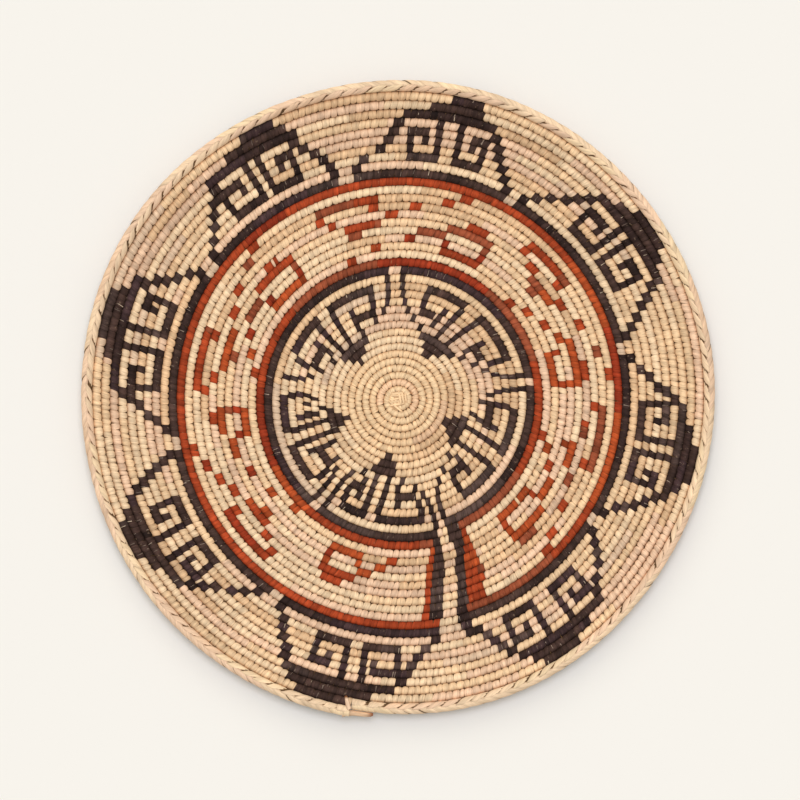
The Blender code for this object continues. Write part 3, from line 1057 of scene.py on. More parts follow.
@dataclass
class DyeChart:
    """Which dye is sewn where. A row runs for one turn inwards from the clock angle of the pathway.

    ring_gaps gives the clock angles at which the dark ring in gapped_row is left open.
    """

    spiral: CoilSpiral
    pathway_clock: float = 162.0
    rings: tuple[tuple[int, Dye], ...] = ((11, Dye.RUST), (21, Dye.RUST), (22, Dye.DARK))
    full_ring: float = 359.999
    gapped_row: int = 22
    ring_gaps: tuple[Span, ...] = ((355.3, 360.5), (80.4, 83.7), (216.8, 220.8))
    shortest_run: float = 0.01
    rows: list[list[tuple[float, float, Dye]]] = field(default_factory=list)

    def __post_init__(self) -> None:
        """Start with undyed rows, and lay the rings and then the ornament on them."""
        self.rows = [[(0.0, 360.0, Dye.NATURAL)] for _ in range(self.spiral.plain_rows + 2)]
        for row, dye in self.rings:
            self.lay(Stroke(row, self.pathway_clock, self.pathway_clock + self.full_ring, dye))
        for gap in self.ring_gaps:
            self.lay(Stroke(self.gapped_row, *gap, Dye.NATURAL))
        for part in (*FIGURES, *CLOUDS, *STAR_POINTS, PATHWAY):
            for stroke in part.strokes():
                self.lay(stroke)
        for stroke in STRAYS:
            self.lay(stroke)

    def lay(self, stroke: Stroke) -> None:
        """Sew one stroke over what is there. One that crosses the pathway's clock angle is cut in two there.

        Args:
            stroke: The stroke.
        """
        start = (stroke.first - self.pathway_clock) % 360.0
        end = start + stroke.last - stroke.first
        self.cut_in(stroke.row, start, min(end, 360.0), stroke.dye)
        if end > 360.0:
            self.cut_in(stroke.row, 0.0, end - 360.0, stroke.dye)

    def cut_in(self, row: int, start: float, end: float, dye: Dye) -> None:
        """Put a run of dye into a row in place of what lies under it.

        Args:
            row: The row.
            start: Degrees inwards from the pathway where the run starts.
            end: Degrees where it ends.
            dye: The dye.
        """
        kept = [(start, end, dye)]
        for first, last, old in self.rows[row]:
            kept += [(first, min(last, start), old), (max(first, end), last, old)]
        self.rows[row] = sorted(run for run in kept if run[1] - run[0] > self.shortest_run)

    def turn_at(self, row: int, degrees: float = 0.0) -> float:
        """The turn of a place that lies some degrees inwards from where a row starts."""
        return self.spiral.end_turn + (self.spiral.end_clock - self.pathway_clock - degrees) / 360.0 - row

    def runs(self) -> Iterator[tuple[float, float, Dye]]:
        """Go along the coil from its start.

        Yields:
            Each run of dye as its first turn, last turn and dye.
        """
        for row in range(len(self.rows) - 1, 0, -1):
            for start, end, dye in reversed(self.joined(row)):
                first = max(self.turn_at(row, end), 0.0)
                last = min(self.turn_at(row, start), float(self.spiral.plain_rows))
                if last > first:
                    yield first, last, dye

    def joined(self, row: int) -> list[tuple[float, float, Dye]]:
        """Join a row's neighbouring runs of one dye.

        Args:
            row: The row.

        Returns:
            Its runs.
        """
        joined: list[tuple[float, float, Dye]] = []
        for start, end, dye in self.rows[row]:
            if joined and joined[-1][2] is dye:
                start = joined.pop()[0]
            joined.append((start, end, dye))
        return joined


# A stitch's closed way round the bundle, from the outer side over the top: how far out in half rows, how far
# up in bundle radii, its width as a share of the whole, and its painted shade, darkest in the groove between
# two rows and falling off over the row's flanks as a round row's shade would
STITCH_SECTION = (
    (1.00, -0.05, 0.88, 1.00),
    (0.95, 0.30, 0.94, 0.82),
    (0.80, 0.58, 0.98, 0.44),
    (0.54, 0.83, 1.00, 0.17),
    (0.18, 0.98, 1.00, 0.02),
    (-0.20, 1.00, 1.00, 0.00),
    (-0.56, 0.92, 1.00, 0.08),
    (-0.82, 0.79, 0.96, 0.13),
    (-1.02, 0.66, 0.82, 0.32),
    (-1.15, 0.56, 0.58, 0.70),
    (-1.25, 0.42, 0.34, 1.00),
    (-1.26, -0.10, 0.38, 1.00),
    (-1.16, -0.60, 0.62, 0.55),
    (-0.80, -0.86, 0.92, 0.15),
    (-0.30, -1.00, 1.00, 0.00),
    (0.30, -1.00, 1.00, 0.00),
    (0.80, -0.78, 0.96, 0.25),
)
STITCH_LEAN = -0.17


@dataclass
class WrappedCoil(HandWork):
    """The sewn coil: each stitch goes round the bundle and through the flank of the row inside it.

    Dyed splints lie flatter and closer than undyed ones, so that their stitches part less: crowns and nicks
    give how far a stitch's edges drop and how much its ends narrow, undyed and dyed.
    """

    chart: DyeChart
    narrow_stitch: float = 0.0030
    wide_stitch: float = 0.0039
    wide_from: float = 0.130
    least_share: float = 0.35
    uneven_width: float = 0.12
    most_uneven: float = 0.3
    closeness: float = 0.99
    crowns: Span = (0.062, 0.055)
    nicks: Span = (1.0, 0.35)
    flat_turns: Profile = ((5.0, 9.0), (0.6, 1.0))
    crown_spread: float = 0.4
    swell_spread: float = 0.022
    lean_spread: float = 0.08
    tooth_spread: float = 0.045
    edge_shade: float = 0.34
    most_stitches: int = 1100
    columns: tuple[float, ...] = (-1.0, -0.86, 0.0, 0.86, 1.0)

    def build(self) -> list[bpy.types.Object]:
        """Sew the whole coil.

        Returns:
            The pieces, one or more for each dye of each zone.
        """
        pieces = []
        for zone, by_dye in self.counted_out().items():
            for dye, run in by_dye.items():
                pieces += self.pieces_of(zone, dye, np.array(run))
        return pieces

    def stitch_width(self, turn: float) -> float:
        """The usual width of a stitch at a turn."""
        share = min(self.spiral.inner_edge(turn) / self.wide_from, 1.0)
        return self.narrow_stitch + (self.wide_stitch - self.narrow_stitch) * share

    def counted_out(self) -> dict[Zone, dict[Dye, list[Span]]]:
        """Count out the stitches of each run of dye. What is too short for a stitch goes to the next run.

        Returns:
            The middle and width in turns of each stitch, by zone and dye, in the order of sewing.
        """
        counted: dict[Zone, dict[Dye, list[Span]]] = {zone: {} for zone in ZONES}
        carried = 0.0
        for first, last, dye in self.chart.runs():
            middle = (first + last) / 2.0
            turn_length = self.spiral.turn_length(middle)
            arc = (last - first) * turn_length
            width = self.stitch_width(middle)
            if arc + carried < self.least_share * width:
                carried += arc
                continue
            first -= carried / turn_length
            carried = 0.0
            count = max(1, round(arc / width))
            edges = np.linspace(first, last, count + 1)
            shifts = self.rng.normal(0.0, self.uneven_width, count - 1)
            edges[1:-1] += shifts.clip(-self.most_uneven, self.most_uneven) * (last - first) / count
            zone = next(zone for zone in ZONES if middle <= self.chart.turn_at(zone.last_row))
            counted[zone].setdefault(dye, []).extend(zip((edges[1:] + edges[:-1]) / 2.0, np.diff(edges)))
        return counted

    def pieces_of(self, zone: Zone, dye: Dye, run: np.ndarray) -> list[bpy.types.Object]:
        """Make the stitches of one dye in one zone, cut into pieces of a fair size.

        Args:
            zone: The zone.
            dye: The dye.
            run: The middle and width of each stitch.

        Returns:
            The pieces.
        """
        finish = DYED.get(dye, zone.ground)
        colours = finish.colours(len(run), self.rng)
        parts = math.ceil(len(run) / self.most_stitches)
        pieces = []
        for number, chosen in enumerate(np.array_split(np.arange(len(run)), parts), start=1):
            strips = self.stitches(*run[chosen].T, colours[chosen], dye is not Dye.NATURAL)
            name = f"{zone.node}_{dye.value}_stitches" + (f"_{number}" if parts > 1 else "")
            pieces.append(strips.piece(name, finish, zone.node))
        return pieces

    def stitches(
        self, middles: np.ndarray, widths: np.ndarray, colours: np.ndarray, dyed: bool
    ) -> SplintStrips:
        """Shape stitches round the bundle.

        Args:
            middles: The turn at each stitch's middle.
            widths: Each stitch's width in turns.
            colours: Each stitch's colour.
            dyed: Whether they are sewn with dyed splints.

        Returns:
            The stitches as looped strips.
        """
        count = len(middles)
        draws = (count, 1, 1)
        out, up, narrowing, shade = (np.array(column)[None, :, None] for column in zip(*STITCH_SECTION))
        narrowing = 1.0 - (1.0 - narrowing) * self.nicks[dyed]
        side = by_column(self.columns)
        turn = by_strip(middles)
        length = self.spiral.turn_length(turn)
        half_width = by_strip(widths) * length / 2.0 * self.closeness
        half_row = self.spiral.pitch(turn) / 2.0
        crown = self.crowns[dyed] * np.interp(turn, *self.flat_turns)
        drop = 1.0 - crown * self.uneven(self.crown_spread, count).clip(0.2, 2.0) * side**6
        swell = self.uneven(self.swell_spread, count)
        lean = STITCH_LEAN + self.lean_spread * self.rng.normal(size=draws)
        tooth = 1.0 + self.tooth_spread * self.rng.normal(size=draws) * (out < -0.9)
        run = side * half_width * narrowing + lean * out * half_row
        lift = np.where(up > 0.0, self.spiral.bundle_radius(turn), self.spiral.bundle_height(turn))
        rise = up * lift * drop * np.where(up > 0.0, swell, 1.0)
        # Painted shade at each stitch's two edges, where it meets the next, on top of the section's painted
        # shade in the grooves and over the flanks
        stitch_edge_shade = np.abs(side) ** 8 * self.edge_shade * self.rng.uniform(0.4, 1.5, draws)
        return SplintStrips(
            points=self.spiral.around(turn + run / length, out * half_row * drop * tooth, rise),
            colours=colours,
            along=section_distance(out, up) * half_row,
            across=side * half_width,
            painted_shade=held(stitch_edge_shade + shade),
            offsets=self.grain_starts(count),
            looped=True,
        )


def section_distance(out: np.ndarray, up: np.ndarray) -> np.ndarray:
    """How far round its section each point of a stitch lies, in half rows."""
    steps = np.hypot(np.diff(out, axis=1, append=out[:, :1]), np.diff(up, axis=1, append=up[:, :1]))
    return np.cumsum(steps, axis=1) - steps


def section_top(out: np.ndarray) -> np.ndarray:
    """How high a stitch's top lies, in bundle radii, at a place across the row."""
    return np.interp(out, *zip(*sorted((place, up) for place, up, _, _ in STITCH_SECTION if up > 0.0)))


@dataclass
class SplintSlivers(HandWork):
    """Pale slivers, split off undyed splints, that lie across the dark rows."""

    chart: DyeChart
    count: int = 300
    width: float = 0.00042
    slant_spread: float = 0.12
    reach: Span = (-1.12, 0.95)
    stations: int = 9
    seat: float = 0.025
    proud: float = 0.00008

    def build(self) -> list[bpy.types.Object]:
        """Lay the slivers.

        Returns:
            Their piece.
        """
        draws = (self.count, 1, 1)
        dark = [(first, last) for first, last, dye in self.chart.runs() if dye is Dye.DARK]
        firsts, lasts = np.array(dark).T
        lengths = (lasts - firsts) * self.spiral.turn_length(firsts)
        chosen = self.rng.choice(len(firsts), size=self.count, p=lengths / lengths.sum())
        share_of_run = self.rng.uniform(0.03, 0.97, self.count)
        turn = by_strip(firsts[chosen] + (lasts - firsts)[chosen] * share_of_run)
        share = along_strip(self.stations)
        column = by_column((-1.0, 0.0, 1.0))
        start = self.rng.uniform(self.reach[0], 0.4, draws)
        end = np.minimum(start + self.rng.uniform(0.4, 1.7, draws), self.reach[1])
        out = start + (end - start) * share
        half_row = self.spiral.pitch(turn) / 2.0
        across = column * self.width * self.rng.uniform(0.5, 1.5, draws) / 2.0
        slant = STITCH_LEAN + self.slant_spread * self.rng.normal(size=draws)
        run = slant * out * half_row + across * (1.0 - 0.6 * share)
        top = self.spiral.bundle_radius(turn) * (section_top(out) + self.seat)
        up = top + self.proud - self.proud / 2.0 * column**2
        strips = SplintStrips(
            points=self.spiral.around(turn + run / self.spiral.turn_length(turn), out * half_row, up),
            colours=SLIVER_SPLINT.colours(self.count, self.rng),
            along=out * half_row,
            across=across,
            offsets=self.grain_starts(self.count),
        )
        return [strips.piece("pale_slivers", SLIVER_SPLINT)]


@dataclass
class GrassBundle:
    """The bundle inside the stitches, seen only through the needle holes and between stitches."""

    spiral: CoilSpiral
    fullness: float = 0.88
    flank: float = 1.04
    segments: int = 72
    sides: int = 12

    def build(self) -> list[bpy.types.Object]:
        """Lay the bundle from the start knot to the end of the plain rows.

        Returns:
            Its piece.
        """
        rows = self.spiral.plain_rows
        turn = np.linspace(0.0, float(rows), rows * self.segments + 1)[None, :, None]
        angle = round_section(self.sides)
        radius = self.spiral.bundle_radius(turn) * self.fullness
        up = np.sin(angle) * radius
        up = np.where(up < 0.0, up * (1.0 - 2.0 * self.spiral.foot_share), up)
        flank = self.spiral.pitch(turn) / 2.0 * self.flank
        out = np.cos(angle) * np.where(np.sin(angle) < 0.1, flank, radius)
        strips = SplintStrips(
            points=self.spiral.around(turn, out, up),
            colours=np.full((1, 3), 0.2),
            along=self.spiral.turn_length(turn / 2.0) * turn,
            across=angle * radius,
        )
        return [strips.piece("grass_bundle", BUNDLE_GRASS, *(zone.node for zone in ZONES))]


@dataclass(frozen=True)
class LeafShape:
    """How the leaves of one side of the rim lie.

    sides is the leaf's way round the rim's section, and lean is how far it runs along the rim in 90 degrees.
    A profile gives shares of the leaf's length and its value at each: of its half width, of how far its ends
    are tucked under, and of the painted shade in the slit beside it. The places count in leaves from the
    rim's start.
    """

    name: str
    sides: Span
    lean: float
    tilt: float
    crown: float
    edge_shade: float
    width: Profile
    tuck: Profile
    first_place: float
    next_place: float
    slit: Profile | None = None


INNER_LEAVES = LeafShape(
    name="inner",
    sides=(226.0, 74.0),
    lean=0.0070,
    tilt=-0.080,
    crown=0.06,
    edge_shade=0.42,
    width=((0.0, 0.18, 0.40, 0.60, 0.72, 0.86, 1.0), (0.30, 0.62, 1.06, 1.0, 0.86, 0.90, 0.40)),
    tuck=((0.0, 0.3, 0.84, 1.0), (1.0, 0.0, 0.0, 1.0)),
    first_place=0.12,
    next_place=0.5,
    slit=((0.36, 0.52, 0.84, 0.92), (0.0, 1.0, 1.0, 0.0)),
)
OUTER_LEAVES = LeafShape(
    name="outer",
    sides=(112.0, -62.0),
    lean=-0.0055,
    tilt=0.035,
    crown=0.11,
    edge_shade=0.22,
    width=((0.0, 0.15, 0.7, 1.0), (0.55, 1.12, 1.14, 1.0)),
    tuck=((0.0, 0.15, 0.8, 1.0), (1.0, 0.0, 0.0, 1.0)),
    first_place=0.3,
    next_place=1.0,
)


@dataclass
class FalseBraid(HandWork):
    """The herringbone rim: splints that lap each other over the last turn of the bundle.

    A "side" goes round the rim's section in degrees: 0 is outwards, 90 the ridge on top, 180 the seam beside
    the last row. Inner leaves lean down to the seam and outer ones down the outside.
    """

    width: float = 0.0060
    end_width: float = 0.0054
    height: float = 0.0060
    end_taper: float = 0.030
    splints: int = 12
    leaves_per_splint: int = 11
    lean_fade: float = 0.024
    seam_reach: float = 0.14
    tuck_depth: float = 0.08
    place_spread: float = 0.04
    lean_spread: float = 0.08
    width_spread: float = 0.07
    reach_spread: float = 0.014
    end_gap: float = 0.0003
    stations: int = 17
    columns: tuple[float, ...] = (-1.0, -0.88, -0.45, 0.0, 0.45, 0.78, 0.88, 1.0)
    core_reach: float = 0.86
    core_fill: float = 0.24
    core_stations: int = 361
    core_sides: int = 12

    @property
    def length(self) -> float:
        """The length of the braid's run round the rim."""
        return 2.0 * math.pi * (self.spiral.inner_edge(self.spiral.plain_rows + 0.5) + self.width / 2.0)

    @property
    def leaf_pitch(self) -> float:
        """The distance from one leaf to the next."""
        return self.length / (self.splints * self.leaves_per_splint)

    def braid_width(self, turn: Values) -> Values:
        """The braid's width, which draws in at the end."""
        share = held((self.spiral.end_turn - turn) * self.length / self.end_taper)
        return self.end_width + (self.width - self.end_width) * share

    def axis(self, turn: Values) -> tuple[Values, Values]:
        """The radius and the height of the rim's axis."""
        radius = self.spiral.inner_edge(turn) + self.braid_width(turn) / 2.0
        return radius, self.spiral.bundle_height(self.spiral.plain_rows) + self.spiral.rise(radius)

    def on_oval(self, run: np.ndarray, side: np.ndarray, reach: np.ndarray) -> np.ndarray:
        """Points on the rim's oval.

        Args:
            run: Distance along the rim from where the braid starts.
            side: Angle round the section, in degrees.
            reach: Share of the oval's size.

        Returns:
            The points.
        """
        turn = self.spiral.plain_rows + np.clip(run, 0.0, self.length) / self.length
        half = self.braid_width(turn) / 2.0
        radius, height = self.axis(turn)
        angle = np.radians(side)
        across = np.cos(angle) * half * reach
        upwards = np.sin(angle) * half * reach * self.height / self.width
        return self.spiral.place(radius + across, self.spiral.clock(turn), height + upwards)

    def fade(self, run: np.ndarray) -> np.ndarray:
        """How much of the lean is left near the braid's two ends."""
        return held(np.minimum(run, self.length - run) / self.lean_fade)

    def leaves(self, shape: LeafShape, places: np.ndarray, colours: np.ndarray) -> SplintStrips:
        """Shape leaves of one side.

        Args:
            shape: How they lie.
            places: Where along the rim each leaf crosses the ridge.
            colours: Each leaf's colour.

        Returns:
            The leaves as open strips.
        """
        count = len(places)
        draws = (count, 1, 1)
        start, end = shape.sides
        share, column = along_strip(self.stations), by_column(self.columns)
        side = start + (end - start) * share
        lean = shape.lean * (side - 90.0) / 90.0
        tucked = np.interp(share, *shape.tuck)
        ridge = by_strip(places) + self.place_spread * self.leaf_pitch * self.rng.normal(size=draws)
        centre = ridge + lean * self.fade(ridge) * self.uneven(self.lean_spread, count)
        half = self.leaf_pitch / 2.0 * np.interp(share, *shape.width) * self.uneven(self.width_spread, count)
        tilt = shape.tilt * column - shape.crown * column**2
        seam = self.seam_reach * held((side - 130.0) / 50.0)
        stray = self.reach_spread * self.rng.normal(size=draws)
        reach = 1.0 + tilt - self.tuck_depth * tucked + seam + stray
        # Painted shade at each leaf's edges where it meets the next, at its tucked ends and in the slit
        # beside an inner leaf
        leaf_painted_shade = np.abs(column) ** 9 * shape.edge_shade + tucked * 0.5
        if shape.slit is not None:
            slit = np.interp(share, *shape.slit) * (column > 0.85)
            leaf_painted_shade = leaf_painted_shade + slit * self.rng.uniform(0.6, 1.3, draws)
        run = np.clip(centre + column * half, self.end_gap, self.length - self.end_gap)
        return SplintStrips(
            points=self.on_oval(run, side, reach),
            colours=colours,
            along=share * math.radians(abs(end - start)) * self.width / 2.0,
            across=column * half * 0.6,
            painted_shade=held(leaf_painted_shade),
            offsets=self.grain_starts(count),
        )

    def build(self) -> list[bpy.types.Object]:
        """Braid the rim.

        Returns:
            The core's piece, and two for each splint's length.
        """
        pieces = [self.core()]
        count = self.splints * self.leaves_per_splint
        for shape in (INNER_LEAVES, OUTER_LEAVES):
            places = np.concatenate(((shape.first_place,), np.arange(count) + shape.next_place))
            places = places * self.leaf_pitch
            colours = BRAID_SPLINT.colours(count + 1, self.rng)
            for number, chosen in enumerate(np.array_split(np.arange(count + 1), self.splints), start=1):
                node = f"braid_splint_{number:02d}"
                strips = self.leaves(shape, places[chosen], colours[chosen])
                pieces.append(strips.piece(f"{node}_{shape.name}_leaves", BRAID_SPLINT, node))
        return pieces

    def core(self) -> bpy.types.Object:
        """Lay the last turn of the bundle, which shows between the leaves and fills out to the seam.

        Returns:
            Its piece.
        """
        run = np.linspace(self.end_gap, self.length - self.end_gap, self.core_stations)[None, :, None]
        side = by_column(np.arange(self.core_sides) * 360.0 / self.core_sides)
        # The core swells out to the seam beside the last row, where its dark bundle colour stands as painted
        # shade in the gap
        fill = self.core_fill * held(np.sin(np.radians(side - 120.0)))
        strips = SplintStrips(
            points=self.on_oval(run, side, self.core_reach + fill),
            colours=np.full((1, 3), 0.3),
            along=run,
            across=np.radians(side) * self.width / 2.0,
        )
        return strips.piece("rim_bundle", BUNDLE_GRASS, "rim_core")


@dataclass
class StartKnot(HandWork):
    """The button that the coil starts from: a wound core with flat strips crossing over it.

    The core follows the first turn's inner side, so it is snail-shaped like the space that it fills. layers
    gives the strips that lie side by side as their direction in degrees from +X and, for each strip, how far
    beside the middle it runs. core_profile goes from the top's middle over the edge to the foot, as share of
    the radius and height.
    """

    strip_width: float = 0.0015
    height: float = 0.0036
    layers: tuple[tuple[float, tuple[float, ...]], ...] = (
        (140.0, (0.0013, 0.0029, 0.0043)),
        (6.0, (-0.0022, -0.0006, 0.0010, 0.0026, 0.0040)),
        (97.0, (-0.0037, -0.0021, -0.0005)),
    )
    stations: int = 13
    columns: tuple[float, ...] = (-1.0, -0.6, 0.0, 0.6, 1.0)
    overlap: float = 0.0009
    layer_step: float = 0.00004
    sag: float = 0.00025
    droop: float = 0.0013
    crown: float = 0.00024
    drawn_in_share: float = 0.35
    heading_spread: float = 3.0
    width_spread: float = 0.15
    core_profile: tuple[Span, ...] = (
        (0.05, 0.0035), (0.55, 0.0033), (0.90, 0.0028), (1.0, 0.0018), (0.9, 0.0), (0.05, 0.0),
    )
    core_sides: int = 36

    def build(self) -> list[bpy.types.Object]:
        """Tie the knot: its strips and its core."""
        return [self.crossing_strips(), self.core()]

    def edge(self, angle: np.ndarray) -> np.ndarray:
        """The first turn's inner side, and a little under it, at an angle in radians from +X towards +Y."""
        clock = 90.0 - np.degrees(angle)
        return self.spiral.inner_edge((self.spiral.end_clock - clock) % 360.0 / 360.0) + self.overlap

    def end_of_strip(self, way: float, heading: np.ndarray, beside: np.ndarray) -> np.ndarray:
        """Find in a few steps how far along its line a strip meets the first turn.

        Args:
            way: 1 for ahead and -1 for behind.
            heading: The strips' directions in radians.
            beside: How far beside the middle they run.

        Returns:
            The distances along the strips' lines.
        """
        distance = np.full(len(beside), 0.003)
        for _ in range(4):
            x, y = turned(way * distance, beside, heading)
            distance = np.sqrt(np.maximum(self.edge(np.arctan2(y, x)) ** 2 - beside**2, 1e-6))
        return way * distance

    def crossing_strips(self) -> bpy.types.Object:
        """Lay flat strips across the button from edge to edge, each a little higher than the one before.

        Returns:
            Their piece.
        """
        lines = [(direction, place) for direction, row in self.layers for place in row]
        directions, beside = np.array(lines).T
        count = len(beside)
        heading = np.radians(directions + self.heading_spread * self.rng.normal(size=count))
        first, last = (by_strip(self.end_of_strip(way, heading, beside)) for way in (-1.0, 1.0))
        share, column = along_strip(self.stations), by_column(self.columns)
        along = first + (last - first) * share
        outwards = np.abs(2.0 * share - 1.0)
        stray = self.rng.normal(size=(count, 1, 1)).clip(-1.5, 1.5)
        half = self.strip_width / 2.0 * (1.0 + self.width_spread * stray)
        sideways = by_strip(beside) + column * half * (1.0 - self.drawn_in_share * outwards**4)
        layer_height = self.height + self.layer_step * by_strip(np.arange(count))
        top = layer_height - self.sag * outwards**2 - self.droop * outwards**8
        strips = SplintStrips(
            points=points_at(*turned(along, sideways, by_strip(heading)), top - self.crown * column**2),
            colours=CENTRE_SPLINT.colours(count, self.rng),
            along=along,
            across=column * half,
            # Painted shade along each strip's edges and at its ends, where they droop under the first turn
            painted_shade=held(np.abs(column) ** 6 * 0.7 + outwards**12 * 0.5),
            offsets=self.grain_starts(count),
        )
        return strips.piece("start_knot_strips", CENTRE_SPLINT, "start_knot")

    def core(self) -> bpy.types.Object:
        """Wind the button under the strips.

        Returns:
            Its piece.
        """
        angle = round_section(self.core_sides)
        reach, height = (np.array(values)[None, :, None] for values in zip(*self.core_profile))
        radius = reach * self.edge(angle)
        strips = SplintStrips(
            points=points_at(*turned(radius, 0.0, angle), height),
            colours=np.array([CENTRE_SPLINT.palette[1]]),
            along=radius,
            across=angle * 0.002,
            # Painted shade over the whole core, which lies under the strips
            painted_shade=0.45,
        )
        return strips.piece("start_knot_core", CENTRE_SPLINT, "start_knot")


@dataclass
class CoilEnd(HandWork):
    """The coil's thin end, bound down outside the first leaves, and the last splint's loose tip.

    The thin end starts inside the rim, a lead before the rim's end, where it swells to the rim's width.
    """

    braid: FalseBraid
    taper_length: float = 0.013
    taper_radius: float = 0.0016
    tip_radius: float = 0.0008
    taper_curl: float = 0.32
    seat: float = 0.0003
    lead: float = 0.004
    swell: float = 0.0009
    swell_share: float = 0.45
    taper_stations: int = 15
    taper_sides: int = 12
    tail_clock: float = 189.75
    tail_lean: float = 0.75
    tail_start: float = 0.0046
    tail_length: float = 0.0082
    tail_width: float = 0.0026
    tail_shape: Profile = ((0.0, 0.5, 0.92, 1.0), (0.5, 0.46, 0.33, 0.22))
    tail_lift: float = 0.0006
    tail_wave: float = 0.0002
    tail_crown: float = 0.00015
    tail_dip: float = 0.0005
    tail_stations: int = 12
    tail_columns: tuple[float, ...] = (-1.0, -0.5, 0.0, 0.5, 1.0)

    def build(self) -> list[bpy.types.Object]:
        """Bind down the end and lay the tip."""
        return [self.tapered_end(), self.tail()]

    def tapered_end(self) -> bpy.types.Object:
        """Thin the bundle out beside the rim's first leaves.

        Returns:
            Its piece.
        """
        share = along_strip(self.taper_stations)
        angle = round_section(self.taper_sides)
        run = share * (self.taper_length + self.lead) - self.lead
        turn = self.spiral.end_turn + run / self.braid.length
        radius = self.tip_radius + (self.taper_radius - self.tip_radius) * (1.0 - share) ** self.taper_curl
        radius = radius + self.swell * held(1.0 - share / self.swell_share) ** 2
        rim_radius, height = self.braid.axis(turn - 1.0)
        middle = rim_radius + self.braid.braid_width(turn - 1.0) / 2.0 + self.seat + radius
        out, up = turned(radius, 0.0, angle)
        strips = SplintStrips(
            points=self.spiral.place(middle + out, self.spiral.clock(turn), height + up),
            colours=PEACH_SPLINT.colours(1, self.rng),
            along=share * self.taper_length,
            across=angle * radius,
            # Darker over the last fifth of the end, towards the thin tip, by the splint's shade tint
            painted_shade=held((share - 0.78) / 0.2),
        )
        return strips.piece("tapered_end_wraps", PEACH_SPLINT, "tapered_end")

    def tail(self) -> bpy.types.Object:
        """Lay the last splint's flat tip inwards over the outermost rows.

        Returns:
            Its piece.
        """
        row_turn = self.spiral.end_turn - (self.tail_clock - self.spiral.end_clock) / 360.0 - 1.0
        start = self.spiral.around(row_turn, 0.0, 0.0)
        towards = self.spiral.around(row_turn - self.tail_lean / 360.0 - 1.0, 0.0, 0.0) - start
        along = towards / np.linalg.norm(towards)
        across = np.cross((0.0, 0.0, 1.0), along)
        across = across / np.linalg.norm(across)
        share, column = along_strip(self.tail_stations), by_column(self.tail_columns)
        half = np.interp(share, *self.tail_shape) * self.tail_width
        distance = self.tail_length * share - self.tail_start
        lift = self.spiral.bundle_radius(self.spiral.plain_rows) + self.tail_lift
        lift = lift + self.tail_wave * np.cos(share * 4.0) - self.tail_crown * column**2
        lift = lift - self.tail_dip * held((share - 0.85) / 0.15)
        ways = zip((distance, column * half, lift), (along, across, np.cross(along, across)))
        strips = SplintStrips(
            points=start + sum(size[..., None] * way for size, way in ways),
            colours=BRAID_SPLINT.colours(1, self.rng),
            along=distance,
            across=column * half,
            # Painted shade along the tip's edges, and darker towards its end, where it dips down
            painted_shade=held(np.abs(column) ** 5 * 0.5 + 1.2 * held((share - 0.74) / 0.2)),
            offsets=7.0,
        )
        return strips.piece("braid_tail_tip", BRAID_SPLINT, "braid_tail")


@dataclass(frozen=True)
class SoftLamp:
    """A broad soft lamp.

    direction is where it stands as seen from the plate, level how light it makes a white floor, and softness
    the angle in degrees that it fills.
    """

    name: str
    direction: tuple[float, float, float]
    level: float
    softness: float
    tint: Colour
    distance: float = 2.0

    def hang(self) -> None:
        """Put the lamp up."""
        towards = Vector(self.direction).normalized()
        lamp = bpy.data.lights.new(self.name, "SUN")
        lamp.energy = self.level * math.pi / towards.z
        lamp.angle = math.radians(self.softness)
        lamp.color = self.tint
        holder = set_out(self.name, lamp)
        holder.location = towards * self.distance
        holder.rotation_euler = towards.to_track_quat("Z", "Y").to_euler()


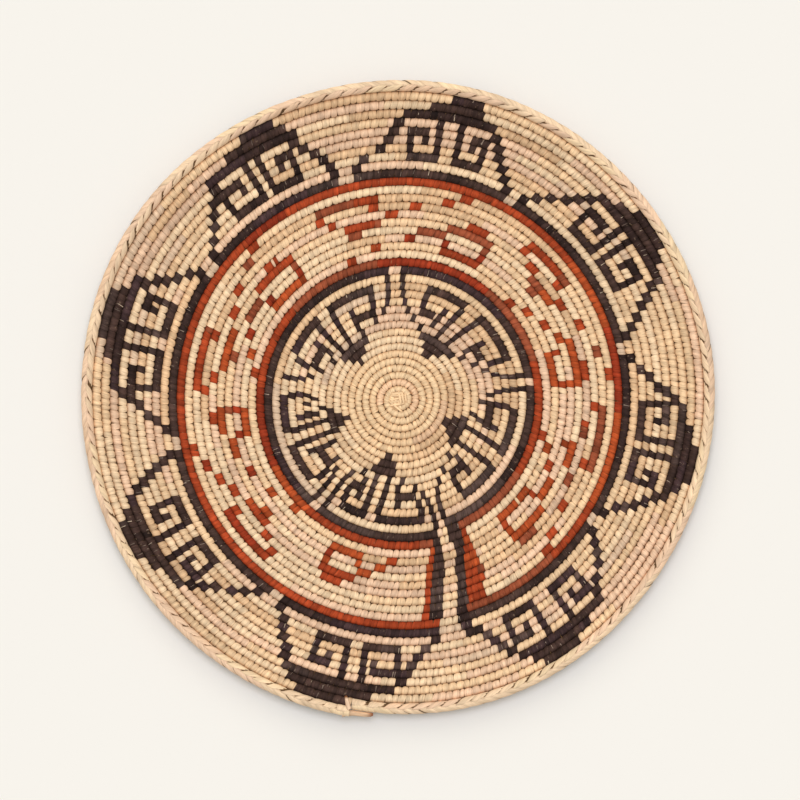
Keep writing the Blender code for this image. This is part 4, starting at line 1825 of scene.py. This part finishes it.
@dataclass
class Studio:
    """The pale floor, the soft light and the camera straight over the plate."""

    middle: Span = (0.0003, 0.0)
    field_width: float = 0.4542
    focus_height: float = 0.012
    camera_height: float = 3.0
    farthest: float = 20.0
    sensor: float = 36.0
    floor_size: float = 12.0
    floor_drop: float = 0.00005
    floor_colour: Colour = (0.939, 0.905, 0.840)
    world_light: float = 0.35
    world_tint: Colour = (1.06, 1.0, 0.86)
    lamps: tuple[SoftLamp, ...] = (
        SoftLamp("overhead_softbox", (0.0, 0.15, 1.0), level=0.49, softness=30.0, tint=(0.938, 1.0, 1.146)),
        SoftLamp("top_key", (-0.25, 1.0, 1.05), level=0.16, softness=50.0, tint=(1.06, 1.0, 0.86)),
    )

    def build(self) -> None:
        """Set up floor, light and camera."""
        self.floor()
        self.world()
        for lamp in self.lamps:
            lamp.hang()
        self.camera()
        bpy.context.scene.view_settings.view_transform = "Standard"

    def floor(self) -> None:
        """Lay the pale floor under the plate."""
        half = self.floor_size / 2.0
        mesh = bpy.data.meshes.new("floor")
        corners = [(x * half, y * half, 0.0) for x, y in ((-1, -1), (1, -1), (1, 1), (-1, 1))]
        mesh.from_pydata(corners, [], [(0, 1, 2, 3)])
        bench = NodeBench(bpy.data.materials.new("pale_floor"))
        mesh.materials.append(bench.dress((*self.floor_colour, 1.0), roughness=1.0, gloss=0.0))
        floor = set_out("floor", mesh)
        floor.location.z = -self.floor_drop
        floor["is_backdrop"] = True

    def world(self) -> None:
        """Give even, faintly warm light from all round, seen directly or mirrored in the floor's colour."""
        bench = NodeBench(bpy.data.worlds.new("studio"))
        light = bench.nodes["Background"]
        bench.feed(light, {"Color": (*self.world_tint, 1.0), "Strength": self.world_light})
        seen = bench.add("ShaderNodeBackground", {"Color": (*self.floor_colour, 1.0)})
        share = 0.0
        for ray in ("Is Camera Ray", "Is Glossy Ray", "Is Transmission Ray"):
            flag = bench.add("ShaderNodeLightPath", {}, ray)
            share = bench.add("ShaderNodeMath", {0: share, 1: flag}, operation="ADD", use_clamp=True)
        mix = bench.add("ShaderNodeMixShader", {0: share, 1: light.outputs[0], 2: seen})
        bench.feed(bench.nodes["World Output"], {"Surface": mix})
        bpy.context.scene.world = bench.owner

    def camera(self) -> None:
        """Set the camera straight over the plate, far enough up for a nearly flat view."""
        lens = bpy.data.cameras.new("camera")
        lens.sensor_width = self.sensor
        lens.lens = self.sensor * (self.camera_height - self.focus_height) / self.field_width
        lens.clip_end = self.farthest
        holder = set_out("camera", lens)
        holder.location = (*self.middle, self.camera_height)
        bpy.context.scene.camera = holder


def write_sizes() -> None:
    """Gather the frame's box and the dressed plate's box side by side as plain numbers, which are not kept.
    """
    boxes = {"cad": CAD_BOX, "visual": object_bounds()}
    plain = {name: [[float(value) for value in corner] for corner in box] for name, box in boxes.items()}


def main() -> None:
    """Build the plate's parts from the middle outwards, report their pieces, and set up the studio."""
    logging.basicConfig(level=logging.INFO, format="%(message)s")
    rng = np.random.default_rng(SEED)
    spiral = CoilSpiral()
    chart = DyeChart(spiral)
    braid = FalseBraid(spiral, rng)
    parts = (
        StartKnot(spiral, rng),
        GrassBundle(spiral),
        WrappedCoil(spiral, rng, chart),
        SplintSlivers(spiral, rng, chart),
        braid,
        CoilEnd(spiral, rng, braid),
    )
    for part in parts:
        for piece in part.build():
            LOG.info("%s: %d faces", piece.name, len(piece.data.polygons))
    Studio().build()
    LOG.info("studio: floor, world, soft lamps and camera")
    write_sizes()


if __name__ == "__main__":
    main()
